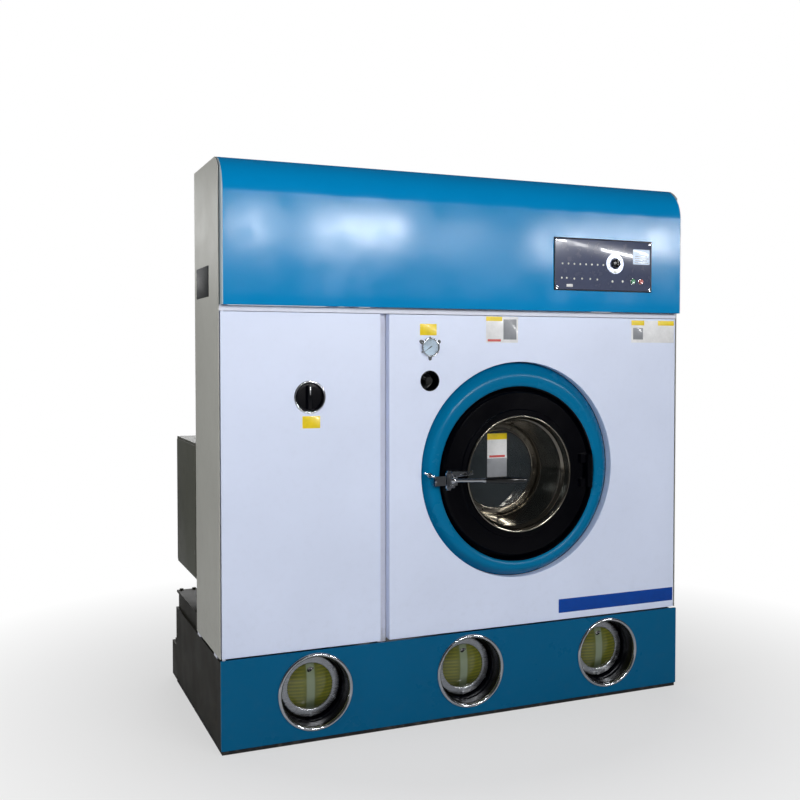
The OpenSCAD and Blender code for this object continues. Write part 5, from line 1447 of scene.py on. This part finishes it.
@dataclass
class LoadingDoor(Assembly):
    """The round door: blue surround, black ring, polished well, clamp ring and glass.

    Args:
        hole: radius of the hole in the front panel.
        rise: how far the hole's centre is above the door's.
        lip: radius of the surround's inner lip.
        rim: radius of the window's rim.
        glass: radius of the visible glass.
        bolts: number of bolts in the clamp ring.
        well_back: Y where the glass is clamped.
        crest: share of the way from hole to lip where the surround stands out most.
    """

    body: Body = Body.LOADING_DOOR
    hole: float = 375.0
    rise: float = 15.0
    lip: float = 304.0
    rim: float = 205.0
    glass: float = 140.0
    bolts: int = 14
    well_back: float = 172.0
    crest: float = 0.6

    def build(self) -> None:
        """Builds the door from the surround inwards."""
        f = Finishes
        c = (DOOR_X, 0.0, DOOR_Z)
        skin = self.put(
            "surround_skin", self.surround(), f.surround, "door_surround", ["door_surround"],
            Body.CABINET, 50.0
        )
        self.repaint(
            skin, f.black, lambda m: np.hypot(m[:, 0] - DOOR_X, m[:, 2] - DOOR_Z) < self.lip
        )
        self.dressed("tub_front_plate", f.black, Body.CABINET, bevel=0.5)
        fixings = self.dressed("door_fixings", f.chrome, Body.CABINET, bevel=1.2)
        self.repaint(fixings, f.cast_black, lambda m: m[:, 0] > 1200.0)
        self.dressed("door_ring", f.cast_black, bevel=1.2)
        self.put(
            "polished_well", lathe(self.well_section(), c, sides=Sides.WELL), f.well, "window_well",
            ["window_well"]
        )
        self.put("clamp_ring", self.clamp(c), f.well, "window_clamp_ring", ["window_clamp_ring"])
        self.put("door_pane", self.pane(c), f.window, "door_glass", ["door_glass"])
        self.put(
            "seal_ring", lathe(self.seal_section(), c, sides=Sides.RIM), f.rubber, "door_seal",
            ["door_seal"]
        )
        self.dressed("latch_bracket", f.chrome, bevel=1.4)
        bands = (
            (0.0, 1.0, 0.86, 1.0, f.yellow), (0.0, 1.0, 0.0, 0.43, f.label_grey),
            (0.1, 0.9, 0.45, 0.5, f.label_red)
        )
        back = self.well_back - 0.55
        Label(
            "window_label", DOOR_X - 40, DOOR_X + 40, 797, 955, f.paper, bands, back, self.body
        ).build()

    def surround(self) -> Sheet:
        """A convex ring between two circles that aren't concentric, then its lip back to the tub.

        At share t from the outer circle to the lip, the centre and radius run evenly from one
        circle to the other. The depth follows a quarter wave from the panel's return to the crest,
        and then a quarter circle back to the lip.
        """
        a = np.linspace(0.0, 2 * math.pi, 192, endpoint=False)
        t = np.linspace(0.0, 1.0, 26)
        radius = (self.hole - 1.5) + t * (self.lip + 1.5 - self.hole + 1.5)
        middle = DOOR_Z + self.rise * (1 - t)
        rise, past = np.minimum(t / self.crest, 1.0), np.clip(
            (t - self.crest) / (1 - self.crest), 0.0, 1.0
        )
        depth = 34.0 - 35.5 * np.sin(rise * math.pi / 2) + 8.5 * (1 - np.sqrt(1 - past**2))
        lip_r = np.array(
            [self.lip - 1.5, self.lip - 3.6, self.lip - 4.0, self.lip - 1.0, self.lip - 1.0]
        )
        lip_y = np.array([9.5, 13.0, 59.0, 59.0, 14.0])
        inside_t = t[::-1][1:-1]
        radius = np.concatenate([radius, lip_r, radius[::-1][1:-1]])
        middle = np.concatenate([middle, np.full(5, DOOR_Z), DOOR_Z + self.rise * (1 - inside_t)])
        depth = np.concatenate([depth, lip_y, depth[::-1][1:-1] + 3.0])
        x = DOOR_X + radius[:, None] * np.cos(a)
        z = middle[:, None] + radius[:, None] * np.sin(a)
        return Sheet(np.stack([x, np.broadcast_to(depth[:, None], x.shape), z], -1), wrap_rows=True)

    def well_section(self) -> Array:
        """The well in section: a rolled rim, a neck, a bead, a cone and a seat for the pane."""
        r, g, b = self.rim, self.glass + 28, self.well_back
        a = np.linspace(-math.pi * 0.1, math.pi * 1.1, 11)
        roll = np.stack([r - 4 + 4 * np.cos(a), 0.0 - 4 * np.sin(a)], 1)
        inner = filleted(
            [[r - 8.4, 1], [r - 9.4, 28], [r - 14, 33], [r - 19, 37], [r - 23, 70], [g + 10, 100],
             [g + 6, 128], [g + 2, b - 26], [g, b - 22], [g, b + 8]], 3.0, 5, False)
        outer = filleted(
            [[g + 2, b + 8], [g + 2, b - 20], [g + 5, b - 25], [g + 8, 128], [g + 12, 100],
             [r - 21, 70], [r - 17, 37], [r - 12, 34.5], [r - 8.6, 29.4], [r - 8.6, 5]],
            1.5, 3, False)
        seat = np.array([[self.glass + 4, b + 8.2], [self.glass + 4, b + 11], [g + 2, b + 11]])
        return np.concatenate([roll, inner, seat, outer])

    def clamp(self, centre: Sequence[float]) -> list[Sheet]:
        """The turned ring over the pane's edge, and its ring of bolts."""
        g, b = self.glass, self.well_back
        section = [
            [g, b - 0.6], [g, b - 4], [g + 3, b - 7], [g + 21, b - 7], [g + 27, b - 5.5],
            [g + 27, b - 0.6]
        ]
        ring = lathe(filleted(section, 1.0, 4), centre, sides=Sides.RIM)
        head = bolt((centre[0] + g + 14, b - 7, centre[2]), 10, 5)
        return [ring, *ring_of(head, self.bolts, centre, first=9.0)]

    def pane(self, centre: Sequence[float]) -> Sheet:
        """The pane, very slightly domed to the front over its visible part."""
        t = np.linspace(0.0, 1.0, 12)
        front = np.stack([t * self.glass, self.well_back - 0.1 - 0.4 * (1 - t**2)], 1)
        rim = np.array(
            [
                [self.glass + 24, self.well_back - 0.1], [self.glass + 24, self.well_back + 7.6],
                [0.0, self.well_back + 7.6]
            ]
        )
        return lathe(np.concatenate([front, rim]), centre, closed=False)

    def seal_section(self) -> Array:
        """The seal in section: a flat foot on the door and a round lip on the tub's collar."""
        a = np.linspace(-0.35 * math.pi, 1.35 * math.pi, 15)[::-1]
        lip = np.stack([self.rim + 32 + 5.9 * np.cos(a), 36.8 + 5.8 * np.sin(a)], 1)
        foot = np.array([[self.rim + 25, 30.3], [self.rim + 39, 30.3], [self.rim + 39, 33.0]])
        return np.concatenate([lip, foot[::-1], np.array([[self.rim + 25, 33.0]])])


@dataclass
class DoorLever(Assembly):
    """The chrome lever and its black grip.

    Args:
        pivot: its pivot's X, Y and Z.
        lean: how far it leans out, in degrees.
        shank: length of the chrome shank.
        grip: length of the grip.
    """

    body: Body = Body.LEVER
    pivot: tuple[float, float, float] = (764.0, -30.0, 820.0)
    lean: float = 20.0
    shank: float = 125.0
    grip: float = 134.0

    def build(self) -> None:
        """Dresses the pivot and shank, and builds the ferrules and the grip."""
        f = Finishes
        self.dressed("door_lever", f.chrome, bevel=0.8)
        self.put("lever_collars", self.collars(), f.chrome, "door_lever")
        self.put("grip_skin", self.grip_sheet(), f.grip, "lever_grip", ["lever_grip"])

    def along(self, profile: Array) -> Sheet:
        """A profile of radius and distance from the pivot, turned round the leaning lever."""
        return lathe(profile, self.pivot, Axis.X, Sides.LEVER, closed=False).turned(
            Axis.Z, -self.lean, self.pivot
        )

    def collars(self) -> list[Sheet]:
        """A hub nut and two ferrules where the shank leaves the hub and enters the grip."""
        near = filleted([[0, 9], [9.5, 9], [10, 20], [8.5, 24], [0, 24]], 1.0, 3, False)
        far = filleted(
            [
                [0, self.shank - 12], [8.2, self.shank - 12], [8.8, self.shank - 1],
                [0, self.shank - 1]
            ],
            0.8, 3, False
        )
        top = [
            bolt((self.pivot[0], self.pivot[1], self.pivot[2] + side * 26.6), 14, 6.2, Axis.Z, side)
            for side in (-1.0, 1.0)
        ]
        return [self.along(near), self.along(far), *top]

    def grip_sheet(self) -> Sheet:
        """The grip: radius 8 + 4 sin(pi t) along its length, with a bead at each end."""
        t = np.linspace(0.0, 1.0, 40)
        body = np.stack(
            [
                8 + 4 * np.sin(np.pi * t) + 0.9 * np.exp(-((t - 0.02) / 0.02) ** 2),
                self.shank + self.grip * t
            ],
            1
        )
        tip = np.array(
            [
                [7.4, self.shank + self.grip + 1.6], [5.5, self.shank + self.grip + 3.0],
                [2.5, self.shank + self.grip + 3.8]
            ]
        )
        ends = np.array([[0.0, self.shank + self.grip + 4.0]])
        return self.along(np.concatenate([[[0.0, self.shank + 0.2]], body, tip, ends]))


@dataclass
class ServiceDoor(Assembly):
    """The tall door on the left, with its round latch.

    Args:
        latch: X and Z of the latch.
        cup: radius of the latch cup's flange.
    """

    body: Body = Body.SERVICE_DOOR
    latch: tuple[float, float] = (291.0, 1105.0)
    cup: float = 53.0

    def build(self) -> None:
        """Dresses the door and bolt, and builds the cup, the knob and the label."""
        f = Finishes
        self.dressed("service_door", f.white, bevel=2.2)
        c = (self.latch[0], 0.0, self.latch[1])
        self.put(
            "latch_cup_skin", lathe(self.cup_section(), c), f.chrome, "latch_cup",
            ["latch_cup"]
        )
        self.put(
            "latch_knob_skin", self.knob(c), f.black, "latch_knob", ["latch_knob"], Body.LATCH_KNOB
        )
        self.put("latch_bar_edge", self.bar_line(c), f.satin, "", (), Body.LATCH_KNOB)
        self.dressed("latch_bolt", f.satin, Body.LATCH_BOLT, bevel=0.8)
        Label("latch_label", 266, 325, 1006, 1045, f.yellow, (), 0.0, Body.SERVICE_DOOR).build()

    def cup_section(self) -> Array:
        """The cup in section: a rolled flange, a curved wall and a floor round the spindle."""
        r = self.cup
        return filleted(
            [[r - 2, -0.2], [r, -1.0], [r - 2.5, -3.0], [r - 6, -2.6], [r - 7.5, 4], [r - 9, 16],
             [r - 13, 18.6], [5.3, 19.0], [5.3, 21.8], [r - 3.5, 21.8], [r - 3.4, -0.2]], 2.4, 5)

    def knob(self, centre: Sequence[float]) -> list[Sheet]:
        """The disc, its finger bar that narrows to the front, and the spindle with its crank."""
        r = self.cup - 8
        disc = filleted(
            [[0, 17], [r, 17], [r, 10], [r - 3, 8], [r - 8, 7.6], [0, 7.6]], 1.6, 4, False
        )
        rows = []
        for y, half, long in (
            (8.5, 12.0, 40.0), (4.0, 10.5, 39.0), (-1.0, 8.8, 38.0), (-4.2, 7.4, 37.0),
            (-5.0, 6.0, 35.5)
        ):
            line = rounded_rectangle(
                centre[0] - half, centre[0] + half, centre[2] - long, centre[2] + long, half * 0.8,
                6
            )
            rows.append(np.stack([line[:, 0], np.full(len(line), y), line[:, 1]], -1))
        bar = Sheet(np.stack(rows), cap_first=True, cap_last=True)
        stem = np.array([[0.0, 16.0], [5.0, 16.0], [5.0, 33.9], [0.0, 33.9]])
        shaft = lathe(stem, centre, sides=Sides.WASHER, closed=False)
        pin = np.array([[0.0, 33.0], [3.0, 33.0], [3.0, 44.5], [0.0, 44.5]])
        off = 9.9
        spot = (centre[0] + off, 0.0, centre[2] + off)
        crank_pin = lathe(pin, spot, sides=Sides.SCREW, closed=False)
        arm_line = filleted([[-8, -8], [8, -8], [8, 20], [-8, 20]], 6.0, 5) + np.array(
            [centre[0], centre[2]]
        )
        arm = plate(arm_line, 29.2, 33.4, 0.5).turned(Axis.Y, 45.0, centre)
        return [lathe(disc, centre, closed=False), bar, shaft, crank_pin, arm]

    def bar_line(self, centre: Sequence[float]) -> Sheet:
        """A thin bright line let into the front of the finger bar."""
        outline = rounded_rectangle(
            centre[0] - 1.2, centre[0] + 1.2, centre[2] + 8, centre[2] + 31, 1.0, 3
        )
        return plate(outline, -5.3, -4.9, 0.1)


@dataclass
class Instruments(Assembly):
    """The pressure gauge and the air regulator under it.

    Args:
        x: X of both.
        gauge: Z of the gauge.
        regulator: Z of the regulator.
        bezel: radius of the gauge's bezel.
    """

    x: float = 708.0
    gauge: float = 1265.0
    regulator: float = 1153.0
    bezel: float = 32.0

    def build(self) -> None:
        """Builds the dial behind its lens, then the regulator's cup and knob."""
        f = Finishes
        c = (self.x, 0.0, self.gauge)
        self.dressed("gauge_case", f.chrome, bevel=0.5)
        bezel = lathe(self.bezel_section(), c, sides=Sides.BEZEL)
        self.put("gauge_bezel", bezel, f.chrome, "gauge_case")
        self.put("gauge_dial", self.face(c), f.dial)
        self.put("gauge_scale", self.scale(c), f.ink)
        screws = [
            dome((self.x + 32.5 * math.cos(a), -3.1, self.gauge + 32.5 * math.sin(a)), 3.2, 1.6)
            for a in (math.pi / 2, math.pi * 7 / 6, math.pi * 11 / 6)
        ]
        self.put("gauge_screws", screws, f.satin)
        self.put("gauge_pane", self.pane(c), f.lens, "gauge_lens", ["gauge_lens"])
        self.dressed("gauge_needle", f.ink, Body.NEEDLE)
        cup = (self.x, 0.0, self.regulator)
        self.put("regulator_cup_skin", self.cup(cup), f.black, "regulator_cup", ["regulator_cup"])
        self.dressed("regulator_knob", f.grip, Body.REGULATOR_KNOB, bevel=0.4)

    def bezel_section(self) -> Array:
        """The bezel in section: a stepped bright ring."""
        r = self.bezel
        return filleted(
            [
                [r + 0.4, -0.2], [r + 0.4, -5], [r - 0.6, -9], [r - 3, -9.6], [r - 4.3, -8.6],
                [r - 4.1, -7.0], [r - 1, -4], [r - 1, -0.2]
            ],
            1.0, 4
        )

    def face(self, centre: Sequence[float]) -> Sheet:
        """A pale disc with a hole for the needle's spindle."""
        section = np.array([[2.4, -4.1], [27.6, -4.1], [27.6, -3.6], [2.4, -3.6]])
        return lathe(section, centre, sides=Sides.DIAL)

    def scale(self, centre: Sequence[float]) -> list[Sheet]:
        """Forty-one ticks over 250 degrees, each fifth one longer, and a thin arc under them."""
        made = []
        for i in range(41):
            length = 4.4 if i % 5 == 0 else 2.2
            wide = 0.45 if i % 5 == 0 else 0.22
            bar = np.array([[-wide, 26 - length], [wide, 26 - length], [wide, 26], [-wide, 26]])
            outline = bar + np.array([centre[0], centre[2]])
            made.append(
                plate(outline, -4.3, -4.0, 0.02).turned(
                    Axis.Y, -125 + i * 6.25, (centre[0], 0.0, centre[2])
                )
            )
        return made

    def pane(self, centre: Sequence[float]) -> Sheet:
        """The lens: a thin disc, bowed 0.8 to the front."""
        t = np.linspace(0.0, 1.0, 8)
        front = np.stack([t * 27.6, -8.4 - 0.5 * (1 - t**2)], 1)
        back = np.array([[27.6, -6.9], [0.0, -6.9]])
        return lathe(np.concatenate([front, back]), centre, sides=Sides.DIAL, closed=False)

    def cup(self, centre: Sequence[float]) -> Sheet:
        """The regulator's cup: a rolled flange, a tapering wall, a floor and the body behind."""
        section = filleted(
            [[33, -0.2], [35, -1.2], [33.4, -2.4], [31, -2.2], [29.6, 4], [28, 36], [24, 38.6],
             [5.3, 39], [5.3, 60], [0.5, 60], [0.5, 98], [22, 98], [22, 42], [32.5, 42],
             [32.6, -0.2]], 1.6, 4)
        return lathe(section, centre, sides=Sides.BEZEL)


@dataclass
class WashDrum(Assembly):
    """Drum, tub and belt drive."""

    def build(self) -> None:
        """Dresses the turning and standing parts."""
        f = Finishes
        self.dressed("drum", f.drum, Body.DRUM, bevel=0.6)
        self.dressed("drum_pulley", f.pulley, Body.DRUM, bevel=1.0)
        self.dressed("motor_pulley", f.pulley, Body.MOTOR_ROTOR, bevel=0.8)
        self.dressed("tub", f.rolled, bevel=0.8)
        self.dressed("bearing_housing", f.cast_blue, bevel=1.5)
        self.dressed("drive_motor", f.motor, bevel=0.5)
        self.dressed("drive_belt", f.rubber, bevel=0.5)


@dataclass
class Machinery(Assembly):
    """The air circuit, still, filter, pump, pipes and electrical box."""

    def build(self) -> None:
        """Dresses each part in its own finish."""
        f = Finishes
        dressing: tuple[tuple[str, Finish, Body, float], ...] = (
            ("fan_housing", f.duct, Body.CABINET, 0.8),
            ("fan_motor", f.motor, Body.CABINET, 0.5),
            ("fan_impeller", f.wheel, Body.FAN_WHEEL, 0.4),
            ("recovery_head", f.vessel, Body.CABINET, 1.2),
            ("air_ducts", f.duct, Body.CABINET, 0.8),
            ("lint_filter_box", f.vessel, Body.CABINET, 1.0),
            ("lint_filter_door", f.vessel, Body.LINT_DOOR, 1.0),
            ("still", f.vessel, Body.CABINET, 1.0),
            ("still_door", f.cast_grey, Body.STILL_DOOR, 1.5),
            ("solvent_filter", f.grey, Body.CABINET, 1.2),
            ("button_trap", f.vessel, Body.CABINET, 1.0),
            ("button_trap_lid", f.vessel, Body.TRAP_LID, 1.0),
            ("solvent_pump", f.motor, Body.CABINET, 0.5),
            ("pipework", f.copper, Body.CABINET, 0.0),
            ("electrical_box", f.cable_box, Body.CABINET, 1.4),
        )
        for node, finish, body, bevel in dressing:
            self.dressed(node, finish, body, bevel)
        self.put("box_lid_seam", self.lid(), f.cable_box, "electrical_box")

    def lid(self) -> list[Sheet]:
        """The electrical box's lid: a shallow plate on its left side, with two turn locks."""
        flat = plate(rounded_rectangle(388, 734, 477, 929, 6.0), 1.2, 3.9, 1.0)
        locks = [dome((x, 1.2, z), 9.0, 0.9) for x, z in ((400, 560), (400, 850))]
        return [sheet.facing_left() for sheet in (flat, *locks)]


# ---------------------------------------------------------------- studio


@dataclass
class Softbox:
    """A soft area lamp.

    Args:
        place: where it stands, in frame metres.
        target: what it points at.
        size: its width and height.
        power: its power in watts.
        lights: it lights matt surfaces.
        mirrored: glossy surfaces show it.
    """

    place: tuple[float, float, float]
    target: tuple[float, float, float]
    size: tuple[float, float]
    power: float
    lights: bool = True
    mirrored: bool = True

    def build(self, name: str) -> None:
        """Adds the lamp, unseen by the camera itself."""
        lamp = bpy.data.lights.new(name, "AREA")
        lamp.shape = "RECTANGLE"
        lamp.size, lamp.size_y = self.size
        lamp.energy = self.power
        holder = linked(name, lamp)
        holder.location = self.place
        aim = Vector(self.target) - Vector(self.place)
        holder.rotation_euler = aim.to_track_quat("-Z", "Y").to_euler()
        holder.visible_camera = False
        holder.visible_diffuse = self.lights
        holder.visible_glossy = self.mirrored


@dataclass
class Studio:
    """Floor, soft lamps, world and the photograph's camera.

    Args:
        eye: the camera's place, in frame metres.
        yaw: how far it looks towards +X from +Y, in degrees.
        pitch: how far it looks down, in degrees.
        lens: focal length on a 36 mm sensor.
        shift: the camera's shift.
        ambient: strength of the soft light all round.
        reach: half the floor's width, in metres.
        floor_grey: the floor's grey.
        fade: from where to where the floor turns white for the camera, in metres.
    """

    eye: tuple[float, float, float] = (-1.52317, -3.4699, 1.23493)
    yaw: float = 23.207
    pitch: float = 1.718
    lens: float = 45.501
    shift: tuple[float, float] = (-0.018775, -0.016713)
    ambient: float = 0.16
    reach: float = 9.0
    floor_grey: float = 0.74
    fade: tuple[float, float] = (0.9, 2.2)

    def build(self) -> None:
        """Builds the studio round the machine."""
        self.camera()
        self.floor()
        self.world()
        seen, unseen = {"lights": False}, {"mirrored": False}
        lamps = {
            "spot": Softbox((0.0, -3.42, 2.08), (-0.6, 0.0, 1.1), (0.2, 0.17), 8.5, **seen),
            "key": Softbox((0.68, -3.42, 2.08), (-0.1, 0.0, 1.0), (0.62, 0.21), 24.0, **seen),
            "second": Softbox((1.40, -3.42, 2.05), (0.2, 0.0, 1.0), (0.36, 0.2), 3.4, **seen),
            "wide": Softbox((2.60, -3.40, 2.08), (0.5, 0.0, 1.0), (1.1, 0.2), 34.0, **seen),
            "band": Softbox((1.3, -3.45, 2.0), (0.1, 0.0, 1.0), (3.6, 0.34), 10.0, **seen),
            "side_glow": Softbox((-1.5, 2.8, 2.02), (-0.86, -0.2, 1.65), (1.6, 0.55), 5.0, **seen),
            "front": Softbox((0.7, -3.6, 2.0), (0.0, 0.0, 0.95), (2.6, 0.8), 48.0, **unseen),
            "window": Softbox((-2.4, -4.1, 2.3), (0.0, 0.0, 0.95), (1.8, 1.0), 74.0, **unseen),
            "left": Softbox((-4.2, -0.6, 2.4), (-0.8, 0.2, 1.0), (2.0, 1.6), 56.0, **unseen),
            "top": Softbox((0.2, 1.2, 4.4), (0.1, 0.3, 0.8), (2.8, 1.6), 8.0, **unseen),
            "back": Softbox((0.6, 4.2, 2.8), (0.0, 0.2, 0.9), (2.6, 1.8), 60.0),
            "right": Softbox((4.2, 2.6, 2.2), (0.6, 0.2, 0.9), (2.0, 1.8), 24.0, **unseen),
        }
        for name, lamp in lamps.items():
            lamp.build(name)

    def camera(self) -> None:
        """The photograph's camera."""
        data = bpy.data.cameras.new("camera")
        data.lens, data.sensor_width = self.lens, 36.0
        data.shift_x, data.shift_y = self.shift
        data.clip_start, data.clip_end = 0.05, 60.0
        eye = linked("camera", data)
        eye.location = self.eye
        eye.rotation_euler = (math.radians(90 - self.pitch), 0.0, -math.radians(self.yaw))
        bpy.context.scene.camera = eye

    def floor(self) -> None:
        """A plain pale floor that fades to white for the camera, away from the machine."""
        mesh = bpy.data.meshes.new("floor")
        x = np.array([-self.reach, self.reach])
        grid = np.stack([*np.meshgrid(x, x), np.zeros((2, 2))], -1)
        mesh.from_pydata(grid.reshape(-1, 3).tolist(), [], [[0, 1, 3, 2]])
        floor = linked("floor", mesh)
        mat = bpy.data.materials.new("Pale floor")
        mat.use_nodes = True
        n = Nodes(mat.node_tree)
        out = n.add("ShaderNodeOutputMaterial")
        matte = n.add("ShaderNodeBsdfDiffuse")
        matte.inputs["Color"].default_value = linear((self.floor_grey,) * 3)
        white = n.add("ShaderNodeEmission")
        away = n.add("ShaderNodeVectorMath", operation="LENGTH")
        n.join(n.place(), away.inputs[0])
        seen = n.add("ShaderNodeLightPath").outputs["Is Camera Ray"]
        share = n.math("MULTIPLY", n.span(away.outputs["Value"], *self.fade, 0.55, 1.0), seen)
        n.join(n.blend(share, matte, white).outputs[0], out.inputs[0])
        mesh.materials.append(mat)

    def world(self) -> None:
        """Soft light all round: the camera sees white, and gloss a hall that darkens overhead."""
        world = bpy.data.worlds.new("studio")
        bpy.context.scene.world = world
        world.use_nodes = True
        n = Nodes(world.node_tree)
        out = n.add("ShaderNodeOutputWorld")
        soft, white, room = (n.add("ShaderNodeBackground") for _ in range(3))
        soft.inputs["Color"].default_value = (0.86, 0.90, 1.0, 1.0)
        for plain in (white, room):
            plain.inputs["Color"].default_value = (1.0, 1.0, 1.0, 1.0)
        up = n.parts(n.add("ShaderNodeTexCoord").outputs["Generated"])[2]
        n.join(n.span(up, 0.0, 0.7, self.ambient, 0.25 * self.ambient), soft.inputs["Strength"])
        n.join(n.span(up, 0.02, 0.25, 0.15, 0.04), room.inputs["Strength"])
        path = n.add("ShaderNodeLightPath")
        mirrored = n.math(
            "MAXIMUM", path.outputs["Is Glossy Ray"], path.outputs["Is Transmission Ray"]
        )
        seen = n.blend(path.outputs["Is Camera Ray"], n.blend(mirrored, soft, room), white)
        n.join(seen.outputs[0], out.inputs[0])
        bpy.context.scene.view_settings.view_transform = "Standard"


def main() -> None:
    """Loads the frame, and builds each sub-assembly and the studio."""
    logging.basicConfig(level=logging.INFO, format="%(name)s: %(message)s")
    for leftover in list(bpy.data.objects):
        bpy.data.objects.remove(leftover, do_unlink=True)
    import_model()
    for part in (
        Cabinet(),
        Fascia(),
        ControlPanel(),
        SolventBase(),
        LoadingDoor(),
        DoorLever(),
        ServiceDoor(),
        Instruments(),
        WashDrum(),
        Machinery(),
    ):
        LOG.info("building %s", type(part).__name__)
        part.build()
    Studio().build()


if __name__ == "__main__":
    main()
